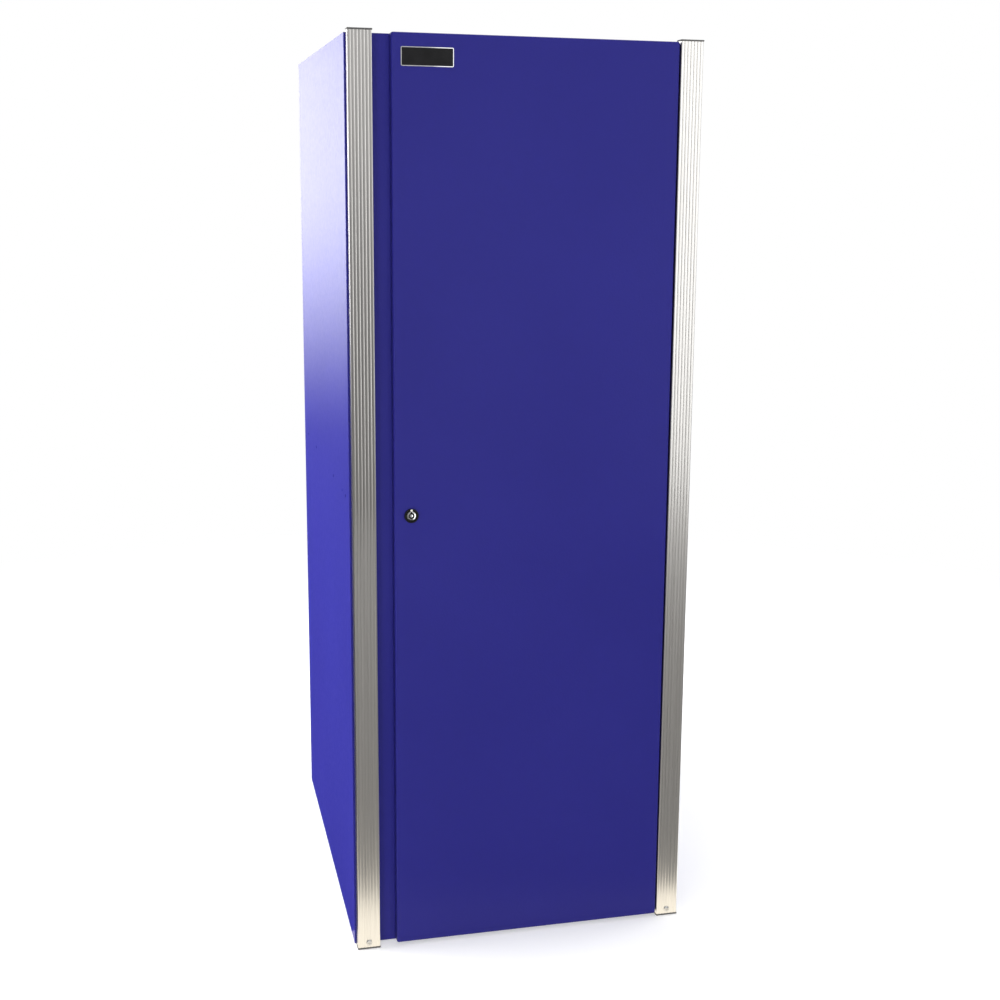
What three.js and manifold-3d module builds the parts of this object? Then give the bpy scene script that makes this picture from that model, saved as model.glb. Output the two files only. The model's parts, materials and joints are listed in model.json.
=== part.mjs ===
// A tall steel side locker for a tool chest: one overlay door, ribbed aluminium corner trims,
// a cam lock at mid height and two loose shelves inside. Millimetres, +Z up, front towards -Y.
// The origin is on the floor line, in the middle of the width and of the depth.
import * as THREE from "three";
import { mergeVertices } from "three/addons/utils/BufferGeometryUtils.js";
import Module from "manifold-3d";

const wasm = await Module();
wasm.setup();

// Overall size
const cabinetWidth = 475; // across the side panels
const cabinetDepth = 624; // door front to back
const overallHeight = 1245; // corner trims with their caps

// Sheet metal
const sheet = 1.2; // cabinet panels and frame
const doorSheet = 1;
const bendRadius = 2; // outside of a fold
const fit = 0.2; // gap between pieces that are fixed to each other

// Carcass
const topDrop = 4.4; // cabinet top below the ends of the trims
const frameLift = 1.2; // front frame above the floor line
const sideFlange = 15; // folded edges of a side panel, front and rear
const baseFlange = 24; // folded foot of a side panel
const panFlange = 20; // folded edges of the top and bottom panels
const sideHoleRadius = 2.5;
const sideHoleHeight = 638;
const sideHoleDepths = [59, 97.5, 200.5, 436, 560]; // behind the door front

// Front frame
const frameSetback = 17.5; // frame face behind the door front
const stileWidth = 68;
const railHeight = 38;
const frameReturn = 9; // inner fold of stiles and rails

// Corner trims
const trimWidth = 31;
const trimReveal = 2.5; // stile showing outside the trim
const trimWall = 1.8;
const trimCorner = 1.5;
const ribCount = 7;
const ribSteps = 8; // straight steps from one crest to the next
const grooveDepth = 0.9; // between the ribs
const capThickness = 2;
const capOverhang = 0.5;
const capPlug = 3.5;
const trimScrewHeight = 9.2;
const trimScrewRadius = 2;
const trimScrewHead = 4;
const trimScrewProud = 1.8;
const trimScrewSlot = 0.9; // width of one arm of the cross
const trimScrewTip = 2; // shank past the stile

// Door
const doorThickness = 15.5;
const doorPull = 23.7; // frame showing between left trim and door
const doorEdgeGap = 1.5; // between door and right trim
const doorLift = 3.5; // door above the floor line
const doorTopDrop = 3.2; // door below the ends of the trims
const doorHem = 12; // folded rear edge of the door
const doorCorner = 3;
const stiffenerWidth = 60;
const stiffenerBrim = 14;
const stiffenerEndGap = 40;
const stiffenerBackGap = 1; // behind the stiffener to the rear of the door
const bumperRadius = 4;
const bumperInset = 6; // from the inner edge of the stile
const bumperEndGap = 90;

// Door pivots
const pinRadius = 2;
const pinClearance = 0.15;
const pinEnd = 0.6; // pin past the pivot plate
const bushingWall = 0.75;
const bushingFlangeRadius = 3.6;
const bushingFlange = 1;
const armEndRadius = 3.4;
const armThickness = 2;
const armInset = 2.8; // arm from the end of the door
const armClearance = 0.5;
const armLean = 30; // degrees the arm leans away from the trim
const armBase = 18; // left edge of the arm from the pivot axis
const armFootHeight = 32;
const pivotPlateThickness = 2.5;
const pivotPlateLength = 22; // left of the pivot axis
const pivotSlotLength = 25; // cut in the door's edge, left of the pivot axis

// Lock
const lockInset = 23; // axis from the door's left edge
const lockHeight = 620;
const lockFlangeRadius = 9.7;
const lockProud = 3; // flange in front of the door
const lockChamfer = 1;
const lockBarrelRadius = 8;
const plugFaceRadius = 6.2;
const plugFaceLength = 9;
const plugRecess = 0.5; // plug face behind the flange face
const plugShaftRadius = 4.5;
const plugStubRadius = 3;
const plugClearance = 0.15;
const keywayOuter = 4.4;
const keywayInner = 2.9;
const keywayDepth = 5;
const keywayNotch = 1.6;
const cutBeyond = 1; // how far a cut runs past the face it opens
const lockNutFlats = 21;
const lockNutThickness = 4;
const camThickness = 2;
const camClearance = 1; // behind the stile's fold
const camWidth = 14;
const camReach = 27; // axis to tip
const camScrewHead = 4.6;
const camScrewHeadHeight = 3;
const camScrewRadius = 1.5;
const camScrewLength = 6;

// Badge plate and its border
const badgeWidth = 68;
const badgeHeight = 24;
const badgeInset = 12; // from the door's left edge
const badgeDrop = 17.5; // from the door's top edge
const badgeCorner = 2;
const badgeBorder = 1.2;
const badgeThickness = 1.4;
const badgeSink = 0.4; // plate below its border

// Shelving
const standardWidth = 16;
const standardDepth = 6;
const standardDepths = [130, 530]; // centres behind the door front
const standardBottom = 70;
const standardTopGap = 62; // below the cabinet top
const slotPitch = 50;
const slotWidth = 4;
const slotHeight = 14;
const shelfSlots = { lower: 6, upper: 13 }; // slot that carries each shelf
const shelfHeight = 22;
const shelfSideGap = 0.8; // to the shelf standards
const shelfFrontGap = 45; // behind the frame face
const shelfRearGap = 20; // in front of the back panel
const clipSheet = 1.6;
const clipWidth = 14;
const clipRise = 8; // ledge above the middle of its slot
const clipDrop = 9; // plate below the middle of its slot
const clipLedge = 15;
const clipTongue = 3; // tongue behind the face of the standard
const clipSlack = 0.3; // tongue in its slot

// Places worked out from the sizes above
const halfWidth = cabinetWidth / 2;
const sideInner = halfWidth - sheet;
const frontY = lockProud - (cabinetDepth + lockProud) / 2;
const backY = frontY + cabinetDepth;
const frameY = frontY + frameSetback;
const sideFrontY = frameY + sheet + fit;
const backPanelY = backY - 2 * sheet - fit;
const cabinetTop = overallHeight - topDrop;
const stileInner = halfWidth - stileWidth;
const panHalf = sideInner - fit;
const trimDepth = frameSetback - fit;
const trimInner = halfWidth - trimReveal - trimWidth;
const trimScrewHole = trimScrewRadius + fit;
const doorLeft = -trimInner + doorPull;
const doorRight = trimInner - doorEdgeGap;
const doorTop = overallHeight - doorTopDrop;
const doorGap = frameSetback - doorThickness;
const pivotInset = doorSheet + fit + bushingFlangeRadius;
const pivotX = doorRight - pivotInset;
const pivotY = frontY + pivotInset;
const bushingRadius = pinRadius + pinClearance + bushingWall;
const lockLength = frameSetback + frameReturn + camClearance - fit; // door front to barrel end
const standardTop = cabinetTop - standardTopGap;
const standardFace = sideInner - fit - standardDepth;
const shelfHalf = standardFace - shelfSideGap;

// Materials
function paintedSteel() {
  return new THREE.MeshStandardMaterial({ color: 0x302e7d, roughness: 0.38, metalness: 0 });
}

function anodisedAluminium() {
  return new THREE.MeshStandardMaterial({ color: 0xc8c5be, roughness: 0.34, metalness: 1 });
}

function blackPlastic() {
  return new THREE.MeshStandardMaterial({ color: 0x2b2b2c, roughness: 0.55, metalness: 0 });
}

function blackRubber() {
  return new THREE.MeshStandardMaterial({ color: 0x1b1b1b, roughness: 0.85, metalness: 0 });
}

function whiteNylon() {
  return new THREE.MeshStandardMaterial({ color: 0xe6e3da, roughness: 0.5, metalness: 0 });
}

function zincSteel() {
  return new THREE.MeshStandardMaterial({ color: 0xb4b6b8, roughness: 0.4, metalness: 1 });
}

function chromePlate() {
  return new THREE.MeshStandardMaterial({ color: 0xd9dadb, roughness: 0.12, metalness: 1 });
}

function blackLacquer() {
  return new THREE.MeshStandardMaterial({ color: 0x191a1c, roughness: 0.2, metalness: 0.4 });
}

function blackEnamel() {
  return new THREE.MeshStandardMaterial({ color: 0x121213, roughness: 0.25, metalness: 0 });
}

// A closed geometry as a solid that can be joined and cut
function solidFrom(geometry) {
  geometry.deleteAttribute("normal");
  geometry.deleteAttribute("uv");
  const merged = mergeVertices(geometry, 1e-4);
  const corners = merged.index.array;
  const kept = [];
  for (let i = 0; i < corners.length; i += 3) {
    const [a, b, c] = [corners[i], corners[i + 1], corners[i + 2]];
    if (a !== b && b !== c && c !== a) kept.push(a, b, c);
  }
  return new wasm.Manifold(
    new wasm.Mesh({
      numProp: 3,
      vertProperties: merged.attributes.position.array,
      triVerts: new Uint32Array(kept),
    }),
  );
}

function piece(name, solid, material) {
  const made = solid.getMesh();
  const geometry = new THREE.BufferGeometry();
  geometry.setAttribute("position", new THREE.BufferAttribute(made.vertProperties, 3));
  geometry.setIndex(new THREE.BufferAttribute(made.triVerts, 1));
  geometry.computeVertexNormals();
  const mesh = new THREE.Mesh(geometry, material);
  mesh.name = name;
  return mesh;
}

// A box from its low and high ends along each axis
function block([x0, x1], [y0, y1], [z0, z1]) {
  const geometry = new THREE.BoxGeometry(x1 - x0, y1 - y0, z1 - z0);
  return solidFrom(geometry.translate((x0 + x1) / 2, (y0 + y1) / 2, (z0 + z1) / 2));
}

function extruded(shape, length) {
  return new THREE.ExtrudeGeometry(shape, { depth: length, bevelEnabled: false, curveSegments: 8 });
}

// Sections drawn in the XY, XZ and YZ planes, run along the third axis
function alongZ(shape, [z0, z1]) {
  return solidFrom(extruded(shape, z1 - z0).translate(0, 0, z0));
}

function alongY(shape, [y0, y1]) {
  return solidFrom(extruded(shape, y1 - y0).rotateX(Math.PI / 2).translate(0, y1, 0));
}

function alongX(shape, [x0, x1]) {
  const turn = new THREE.Matrix4().makeBasis(
    new THREE.Vector3(0, 1, 0),
    new THREE.Vector3(0, 0, 1),
    new THREE.Vector3(1, 0, 0),
  );
  return solidFrom(extruded(shape, x1 - x0).applyMatrix4(turn).translate(x0, 0, 0));
}

// A turned piece on the Y axis, from [radius, distance along Y] points
function turnedY(profile, sides) {
  const points = profile.map(([radius, along]) => new THREE.Vector2(radius, along));
  return solidFrom(new THREE.LatheGeometry(points, sides));
}

function turnedZ(profile, sides) {
  const points = profile.map(([radius, along]) => new THREE.Vector2(radius, along));
  return solidFrom(new THREE.LatheGeometry(points, sides).rotateX(Math.PI / 2));
}

function rodProfile(radius, from, to) {
  return [[0, from], [radius, from], [radius, to], [0, to]];
}

// The path with its inner corners rounded, each to its own radius
function rounded(path, radii) {
  const arcSteps = 3;
  const made = [];
  path.forEach((corner, i) => {
    if (!radii[i]) {
      made.push(corner.clone());
      return;
    }
    const back = path[i - 1].clone().sub(corner).normalize();
    const ahead = path[i + 1].clone().sub(corner).normalize();
    const centre = corner.clone().addScaledVector(back, radii[i]).addScaledVector(ahead, radii[i]);
    for (let step = 0; step <= arcSteps; step++) {
      const angle = ((Math.PI / 2) * step) / arcSteps;
      const point = centre.clone().addScaledVector(ahead, -radii[i] * Math.cos(angle));
      made.push(point.addScaledVector(back, -radii[i] * Math.sin(angle)));
    }
  });
  return made;
}

// Section of a sheet folded square along a path, with the sheet on the path's left
function foldedSection(corners, thickness) {
  const path = corners.map(([x, y]) => new THREE.Vector2(x, y));
  const headings = path.slice(1).map((end, i) => end.clone().sub(path[i]).normalize());
  const lefts = headings.map((heading) => new THREE.Vector2(-heading.y, heading.x));
  const inner = bendRadius - thickness;
  const nearRadii = [0];
  const farRadii = [0];
  const far = [path[0].clone().addScaledVector(lefts[0], thickness)];
  for (let i = 1; i < headings.length; i++) {
    const turnsLeft = headings[i - 1].cross(headings[i]) > 0;
    nearRadii.push(turnsLeft ? bendRadius : inner);
    farRadii.push(turnsLeft ? inner : bendRadius);
    const offset = lefts[i - 1].clone().add(lefts[i]);
    far.push(path[i].clone().addScaledVector(offset, thickness));
  }
  const last = path.length - 1;
  far.push(path[last].clone().addScaledVector(lefts[last - 1], thickness));
  const outline = rounded(path, nearRadii).concat(rounded(far, farRadii).reverse());
  return new THREE.Shape(outline);
}

function mirroredX(corners, side) {
  const moved = corners.map(([x, y]) => [x * -side, y]);
  return side > 0 ? moved.reverse() : moved;
}

// Low and high ends, on one side of the middle, of a span given outwards
function onSide(side, from, to) {
  return side > 0 ? [from, to] : [-to, -from];
}

function roundedRectangle([x0, x1], [y0, y1], radius) {
  const shape = new THREE.Shape();
  shape.absarc(x1 - radius, y1 - radius, radius, 0, Math.PI / 2);
  shape.absarc(x0 + radius, y1 - radius, radius, Math.PI / 2, Math.PI);
  shape.absarc(x0 + radius, y0 + radius, radius, Math.PI, Math.PI * 1.5);
  shape.absarc(x1 - radius, y0 + radius, radius, Math.PI * 1.5, Math.PI * 2);
  return shape;
}

// A slab in the XZ plane whose front edges are rounded, from its front face backwards
function roundedSlab(x, z, [front, back], corner, radius) {
  const geometry = new THREE.ExtrudeGeometry(roundedRectangle(x, z, corner), {
    depth: back - front,
    bevelThickness: radius,
    bevelSize: radius,
    bevelOffset: -radius,
    bevelSegments: 3,
    curveSegments: 4,
  });
  geometry.rotateX(Math.PI / 2).translate(0, back + radius, 0);
  const beyond = 2 * radius;
  const tail = block([x[0] - beyond, x[1] + beyond], [back, back + beyond], [z[0] - beyond, z[1] + beyond]);
  return solidFrom(geometry).subtract(tail);
}

// A side panel: one sheet folded in at the front, the rear and the foot, with a row of bolt holes
function sidePanel(name, side) {
  const corners = [
    [-halfWidth + sideFlange, backY],
    [-halfWidth, backY],
    [-halfWidth, sideFrontY],
    [-halfWidth + sideFlange, sideFrontY],
  ];
  const section = foldedSection(mirroredX(corners, side), sheet);
  const footX = onSide(side, halfWidth - baseFlange, halfWidth - sheet / 2);
  const foot = block(footX, [sideFrontY + bendRadius, backY - bendRadius], [0, sheet]);
  let panel = alongZ(section, [0, cabinetTop]).add(foot);
  for (const depth of sideHoleDepths) {
    const hole = turnedY(rodProfile(sideHoleRadius, -bendRadius, bendRadius), 16);
    const across = hole.rotate([0, 0, 90]);
    panel = panel.subtract(across.translate([side * halfWidth, frontY + depth, sideHoleHeight]));
  }
  return piece(name, panel, paintedSteel());
}

// Clearance at the corners of the top and bottom panels for the folds of the side panels
function foldClearance(side, z) {
  const front = [frameY, sideFrontY + bendRadius + fit];
  const rear = [backY - bendRadius - fit, backY];
  const wide = block(onSide(side, halfWidth - sideFlange - fit, halfWidth), front, z);
  return wide.add(block(onSide(side, halfWidth - bendRadius - fit, halfWidth), rear, z));
}

function flangedPanel(name, corners, z) {
  const section = foldedSection(corners, sheet);
  let panel = alongY(section, [sideFrontY, backY - sheet - fit]);
  for (const side of [-1, 1]) {
    panel = panel.subtract(foldClearance(side, z));
  }
  return piece(name, panel, paintedSteel());
}

function topPanel() {
  const edge = cabinetTop - panFlange;
  const corners = [[panHalf, edge], [panHalf, cabinetTop], [-panHalf, cabinetTop], [-panHalf, edge]];
  return flangedPanel("top_panel", corners, [edge - fit, cabinetTop + fit]);
}

function bottomPanel() {
  const floor = sheet + fit;
  const edge = floor + panFlange;
  const corners = [[-panHalf, edge], [-panHalf, floor], [panHalf, floor], [panHalf, edge]];
  return flangedPanel("bottom_panel", corners, [0, edge + fit]);
}

function backPanel() {
  const half = panHalf - bendRadius - fit;
  const z = [2 * (sheet + fit), cabinetTop - sheet - fit];
  return piece("back_panel", block([-half, half], [backPanelY, backPanelY + sheet], z), paintedSteel());
}

// A hole through the front sheet of the frame
function frameHole(radius, x, z) {
  return turnedY(rodProfile(radius, -sheet, 2 * sheet), 16).translate([x, frameY, z]);
}

function trimScrewX(side) {
  return side * (halfWidth - trimReveal - trimWidth / 2);
}

function stile(name, side, openings) {
  const corners = [
    [-halfWidth, frameY],
    [-stileInner, frameY],
    [-stileInner, frameY + frameReturn],
  ];
  const section = foldedSection(mirroredX(corners, side), sheet);
  const wide = [-halfWidth, halfWidth];
  const behind = [frameY + sheet, frameY + 2 * frameReturn];
  let solid = alongZ(section, [frameLift, cabinetTop]);
  solid = solid.subtract(block(wide, behind, [0, 2 * (sheet + fit)]));
  solid = solid.subtract(block(wide, behind, [cabinetTop - sheet - fit, cabinetTop + sheet]));
  solid = solid.subtract(frameHole(trimScrewHole, trimScrewX(side), trimScrewHeight));
  for (const opening of openings) {
    solid = solid.subtract(opening);
  }
  return piece(name, solid, paintedSteel());
}

function rail(name, corners) {
  const reach = stileInner - fit;
  return piece(name, alongX(foldedSection(corners, sheet), [-reach, reach]), paintedSteel());
}

function topRail() {
  const edge = cabinetTop - railHeight;
  return rail("frame_rail_top", [[frameY, cabinetTop], [frameY, edge], [frameY + frameReturn, edge]]);
}

function bottomRail() {
  const edge = frameLift + railHeight;
  return rail("frame_rail_bottom", [[frameY + frameReturn, edge], [frameY, edge], [frameY, frameLift]]);
}

// Section of a corner trim: a channel open at the back, with half-round ribs across its face
function trimSection() {
  const points = [[0, trimDepth], [0, trimCorner], [trimCorner, 0]];
  const pitch = trimWidth / ribCount;
  const steps = (ribCount - 1) * ribSteps;
  for (let step = 0; step <= steps; step++) {
    const x = pitch / 2 + (step / ribSteps) * pitch;
    points.push([x, grooveDepth * (1 - Math.abs(Math.sin((Math.PI * x) / pitch)))]);
  }
  const face = trimWall + grooveDepth;
  points.push([trimWidth - trimCorner, 0], [trimWidth, trimCorner], [trimWidth, trimDepth]);
  points.push([trimWidth - trimWall, trimDepth], [trimWidth - trimWall, face]);
  points.push([trimWall, face], [trimWall, trimDepth]);
  return new THREE.Shape(points.map(([x, y]) => new THREE.Vector2(x, y)));
}

function placedAtTrim(mesh, side) {
  mesh.position.set(trimScrewX(side) - trimWidth / 2, frontY, 0);
  return mesh;
}

function cornerTrim(name, side) {
  const ends = capThickness + fit;
  const channel = alongZ(trimSection(), [ends, overallHeight - ends]);
  const face = trimWall + grooveDepth;
  const hole = turnedY(rodProfile(trimScrewHole, -face, 2 * face), 16);
  const drilled = channel.subtract(hole.translate([trimWidth / 2, 0, trimScrewHeight]));
  return placedAtTrim(piece(name, drilled, anodisedAluminium()), side);
}

function trimCap(name, side, end) {
  const face = trimWall + grooveDepth;
  const rise = end === "bottom" ? 1 : -1;
  const base = end === "bottom" ? 0 : overallHeight;
  const span = (from, to) => [base + rise * from, base + rise * to].sort((a, b) => a - b);
  const plateX = [-capOverhang, trimWidth + capOverhang];
  const plate = block(plateX, [-capOverhang, trimDepth], span(0, capThickness));
  const plugX = [trimWall + fit, trimWidth - trimWall - fit];
  const plug = block(plugX, [face + fit, trimDepth], span(capThickness / 2, capThickness + capPlug));
  return placedAtTrim(piece(name, plate.add(plug), blackPlastic()), side);
}

function trimScrew(name, side) {
  const tip = frameSetback + sheet + trimScrewTip;
  const screw = turnedY(
    [
      [0, -trimScrewProud],
      [trimScrewHead / 2, -trimScrewProud],
      [trimScrewHead, -trimScrewProud / 2],
      [trimScrewHead, -fit],
      [trimScrewRadius, -fit],
      [trimScrewRadius, tip],
      [0, tip],
    ],
    20,
  );
  const arm = [-trimScrewHead / 2, trimScrewHead / 2];
  const slot = [-trimScrewSlot / 2, trimScrewSlot / 2];
  const depth = [-2 * trimScrewProud, -trimScrewProud / 2];
  const cross = block(arm, depth, slot).add(block(slot, depth, arm));
  const mesh = piece(name, screw.subtract(cross), zincSteel());
  mesh.position.set(trimScrewX(side), frontY, trimScrewHeight);
  return mesh;
}

function doorBumper(name, z) {
  const thickness = doorGap - 2 * fit;
  const dome = thickness / 3;
  const profile = [
    [0, -thickness],
    [bumperRadius - dome, -thickness],
    [bumperRadius, -thickness + dome],
    [bumperRadius, 0],
    [0, 0],
  ];
  const mesh = piece(name, turnedY(profile, 20), blackRubber());
  mesh.position.set(-stileInner - bumperInset, frameY - fit, z);
  return mesh;
}

// Heights counted from one end of the door towards its middle
function fromDoorEnd(end, from, to) {
  const base = end === "bottom" ? doorLift : doorTop;
  const rise = end === "bottom" ? 1 : -1;
  return [base + rise * from, base + rise * to].sort((a, b) => a - b);
}

const armStop = armInset + armThickness;
const flangeStart = armStop + fit;
const plateStart = flangeStart + bushingFlange + fit;
const plateStop = plateStart + pivotPlateThickness;

// Where the right edge of a pivot arm crosses a plane this far behind the pivot axis
function armRightAt(distance) {
  const lean = THREE.MathUtils.degToRad(armLean);
  const tangentX = armEndRadius * Math.cos(lean);
  const tangentY = armEndRadius * Math.sin(lean);
  return tangentX - (distance - tangentY) * Math.tan(lean);
}

function armSlot(end) {
  const x = [pivotX - armBase - fit, pivotX + armRightAt(frameY - pivotY) + fit];
  return block(x, [frameY - sheet, frameY + 2 * sheet], fromDoorEnd(end, armInset - fit, armStop + fit));
}

// A frame-side pivot bracket: a flat arm through the stile, with a foot behind it
function pivotBracket(name, end) {
  const lean = THREE.MathUtils.degToRad(armLean);
  const frame = frameY - pivotY;
  const footFront = frame + sheet + fit;
  const footBack = footFront + armThickness;
  const right = armRightAt(frame);
  const shape = new THREE.Shape();
  shape.absarc(0, 0, armEndRadius, lean, lean - Math.PI, true);
  shape.lineTo(-armBase, frame);
  shape.lineTo(-armBase, footBack);
  shape.lineTo(right, footBack);
  shape.lineTo(right, frame);
  const eye = new THREE.Path();
  eye.absarc(0, 0, pinRadius + pinClearance, 0, Math.PI * 2);
  shape.holes.push(eye);
  const arm = alongZ(shape, fromDoorEnd(end, armInset, armStop));
  const foot = block([-armBase, right], [footFront, footBack], fromDoorEnd(end, armInset, armFootHeight));
  const mesh = piece(name, arm.add(foot), zincSteel());
  mesh.position.set(pivotX, pivotY, 0);
  return mesh;
}

function pivotPin(name, end) {
  const z = fromDoorEnd(end, armInset, plateStop + pinEnd);
  const mesh = piece(name, turnedZ(rodProfile(pinRadius, ...z), 20), zincSteel());
  mesh.position.set(pivotX, pivotY, 0);
  return mesh;
}

// A shelf standard: a channel on the side panel, slotted down its face
function slotCentre(index) {
  return standardBottom + (index + 1) * slotPitch;
}

function shelfStandard(name, side, depth) {
  const middle = frontY + depth;
  const corners = [
    [-sideInner + fit, middle - standardWidth / 2],
    [-standardFace, middle - standardWidth / 2],
    [-standardFace, middle + standardWidth / 2],
    [-sideInner + fit, middle + standardWidth / 2],
  ];
  const section = foldedSection(mirroredX(corners, side), sheet);
  let standard = alongZ(section, [standardBottom, standardTop]);
  const slotX = onSide(side, standardFace - sheet, standardFace + 2 * sheet);
  const slotY = [middle - slotWidth / 2, middle + slotWidth / 2];
  for (let slot = 0; slotCentre(slot) + slotPitch / 2 < standardTop; slot++) {
    const z = slotCentre(slot);
    standard = standard.subtract(block(slotX, slotY, [z - slotHeight / 2, z + slotHeight / 2]));
  }
  return piece(name, standard, zincSteel());
}

function shelfClip(name, side, depth, slot) {
  const middle = frontY + depth;
  const z = slotCentre(slot);
  const face = standardFace - fit;
  const wide = [middle - clipWidth / 2, middle + clipWidth / 2];
  const narrow = [middle - slotWidth / 2 + clipSlack, middle + slotWidth / 2 - clipSlack];
  const plate = block(onSide(side, face - clipSheet, face), wide, [z - clipDrop, z + clipRise]);
  const ledge = block(onSide(side, face - clipLedge, face), wide, [z + clipRise - clipSheet, z + clipRise]);
  const tongueZ = [z - slotHeight / 2 + clipSlack, z + slotHeight / 2 - clipSlack];
  const tongue = block(onSide(side, face - clipSheet, standardFace + clipTongue), narrow, tongueZ);
  return piece(name, plate.add(ledge).add(tongue), zincSteel());
}

function shelf(name, slot) {
  const base = slotCentre(slot) + clipRise + fit;
  const y = [frameY + shelfFrontGap, backPanelY - shelfRearGap];
  const outer = block([-shelfHalf, shelfHalf], y, [base, base + shelfHeight]);
  const hollowX = [-shelfHalf + sheet, shelfHalf - sheet];
  const hollow = block(hollowX, [y[0] + sheet, y[1] - sheet], [base - sheet, base + shelfHeight - sheet]);
  return piece(name, outer.subtract(hollow), paintedSteel());
}

// Door pieces are placed from the pivot axis, with Z still from the floor line
const panelX = [doorLeft - pivotX, doorRight - pivotX];
const panelY = [-pivotInset, doorThickness - pivotInset];
const lockX = panelX[0] + lockInset;

// The door: a pan with rounded front edges, hemmed at the rear, slotted for the pivot arms
function doorPanel() {
  const z = [doorLift, doorTop];
  const shrink = ([low, high], by) => [low + by, high - by];
  const outer = roundedSlab(panelX, z, panelY, doorCorner, bendRadius);
  const hollow = roundedSlab(
    shrink(panelX, doorSheet),
    shrink(z, doorSheet),
    shrink(panelY, doorSheet),
    doorCorner - doorSheet,
    bendRadius - doorSheet,
  );
  const rear = [panelY[1] - 2 * doorSheet, panelY[1] + doorSheet];
  let panel = outer.subtract(hollow);
  panel = panel.subtract(block(shrink(panelX, doorHem), rear, shrink(z, doorHem)));
  const lockHole = turnedY(rodProfile(lockBarrelRadius + fit, -doorSheet, 2 * doorSheet), 32);
  panel = panel.subtract(lockHole.translate([lockX, panelY[0], lockHeight]));
  for (const end of ["bottom", "top"]) {
    const slotX = [-pivotSlotLength, panelX[1] + doorSheet];
    const slotY = [panelY[0] + doorSheet, panelY[1] + doorSheet];
    const slotZ = fromDoorEnd(end, armInset - armClearance, armStop + armClearance);
    panel = panel.subtract(block(slotX, slotY, slotZ));
  }
  return piece("door_panel", panel, paintedSteel());
}

function doorStiffener() {
  const middle = (panelX[0] + panelX[1]) / 2;
  const skin = panelY[0] + doorSheet + fit;
  const crown = panelY[1] - stiffenerBackGap - doorSheet;
  const left = middle - stiffenerWidth / 2;
  const right = middle + stiffenerWidth / 2;
  const corners = [
    [left - stiffenerBrim, skin],
    [left, skin],
    [left, crown],
    [right, crown],
    [right, skin],
    [right + stiffenerBrim, skin],
  ];
  const z = [doorLift + stiffenerEndGap, doorTop - stiffenerEndGap];
  return piece("door_stiffener", alongZ(foldedSection(corners, doorSheet), z), paintedSteel());
}

function pivotPlate(name, end) {
  const x = [-pivotPlateLength, panelX[1] - doorSheet - fit];
  const y = [panelY[0] + doorSheet + fit, panelY[1] - doorSheet - fit];
  const z = fromDoorEnd(end, plateStart, plateStop);
  const hole = turnedZ(rodProfile(bushingRadius + fit, z[0] - fit, z[1] + fit), 24);
  const plate = alongZ(roundedRectangle(x, y, bendRadius - doorSheet), z);
  return piece(name, plate.subtract(hole), zincSteel());
}

function pivotBushing(name, end) {
  const bore = pinRadius + pinClearance;
  const far = plateStop + fit;
  const profile = [
    [bore, flangeStart],
    [bushingFlangeRadius, flangeStart],
    [bushingFlangeRadius, flangeStart + bushingFlange],
    [bushingRadius, flangeStart + bushingFlange],
    [bushingRadius, far],
    [bore, far],
    [bore, flangeStart],
  ];
  const turned = turnedZ(profile, 24);
  const placed =
    end === "bottom"
      ? turned.translate([0, 0, doorLift])
      : turned.mirror([0, 0, 1]).translate([0, 0, doorTop]);
  return piece(name, placed, whiteNylon());
}

// The badge's place: a plain dark plate inside a bright border
function badgeBezel() {
  const x = [panelX[0] + badgeInset, panelX[0] + badgeInset + badgeWidth];
  const z = [doorTop - badgeDrop - badgeHeight, doorTop - badgeDrop];
  const shape = roundedRectangle(x, z, badgeCorner);
  const innerX = [x[0] + badgeBorder, x[1] - badgeBorder];
  const innerZ = [z[0] + badgeBorder, z[1] - badgeBorder];
  shape.holes.push(roundedRectangle(innerX, innerZ, badgeCorner - badgeBorder));
  const y = [panelY[0] - fit - badgeThickness, panelY[0] - fit];
  return piece("badge_bezel", alongY(shape, y), chromePlate());
}

function badgePlate() {
  const edge = badgeBorder + fit;
  const x = [panelX[0] + badgeInset + edge, panelX[0] + badgeInset + badgeWidth - edge];
  const z = [doorTop - badgeDrop - badgeHeight + edge, doorTop - badgeDrop - edge];
  const y = [panelY[0] - fit - badgeThickness + badgeSink, panelY[0] - fit];
  const shape = roundedRectangle(x, z, badgeCorner - badgeBorder);
  return piece("badge_plate", alongY(shape, y), blackEnamel());
}

// Lock pieces are placed from the lock axis, with Y from the door front backwards
function lockBody() {
  const faceBore = plugFaceRadius + plugClearance;
  const shaftBore = plugShaftRadius + plugClearance;
  const step = plugFaceLength - lockProud + plugClearance;
  const profile = [
    [faceBore, -lockProud],
    [lockFlangeRadius - lockChamfer, -lockProud],
    [lockFlangeRadius, lockChamfer - lockProud],
    [lockFlangeRadius, -fit],
    [lockBarrelRadius, -fit],
    [lockBarrelRadius, lockLength],
    [shaftBore, lockLength],
    [shaftBore, step],
    [faceBore, step],
    [faceBore, -lockProud],
  ];
  return piece("lock_body", turnedY(profile, 32), blackLacquer());
}

function lockNut() {
  const shape = new THREE.Shape();
  const radius = lockNutFlats / 2 / Math.cos(Math.PI / 6);
  for (let corner = 0; corner < 6; corner++) {
    const angle = (corner * Math.PI) / 3;
    const point = [radius * Math.cos(angle), radius * Math.sin(angle)];
    if (corner === 0) shape.moveTo(...point);
    else shape.lineTo(...point);
  }
  const bore = new THREE.Path();
  bore.absarc(0, 0, lockBarrelRadius + fit, 0, Math.PI * 2, true);
  shape.holes.push(bore);
  const front = doorSheet + fit;
  return piece("lock_nut", alongY(shape, [front, front + lockNutThickness]), zincSteel());
}

const camFront = lockLength + fit;
const camBack = camFront + camThickness;

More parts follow.
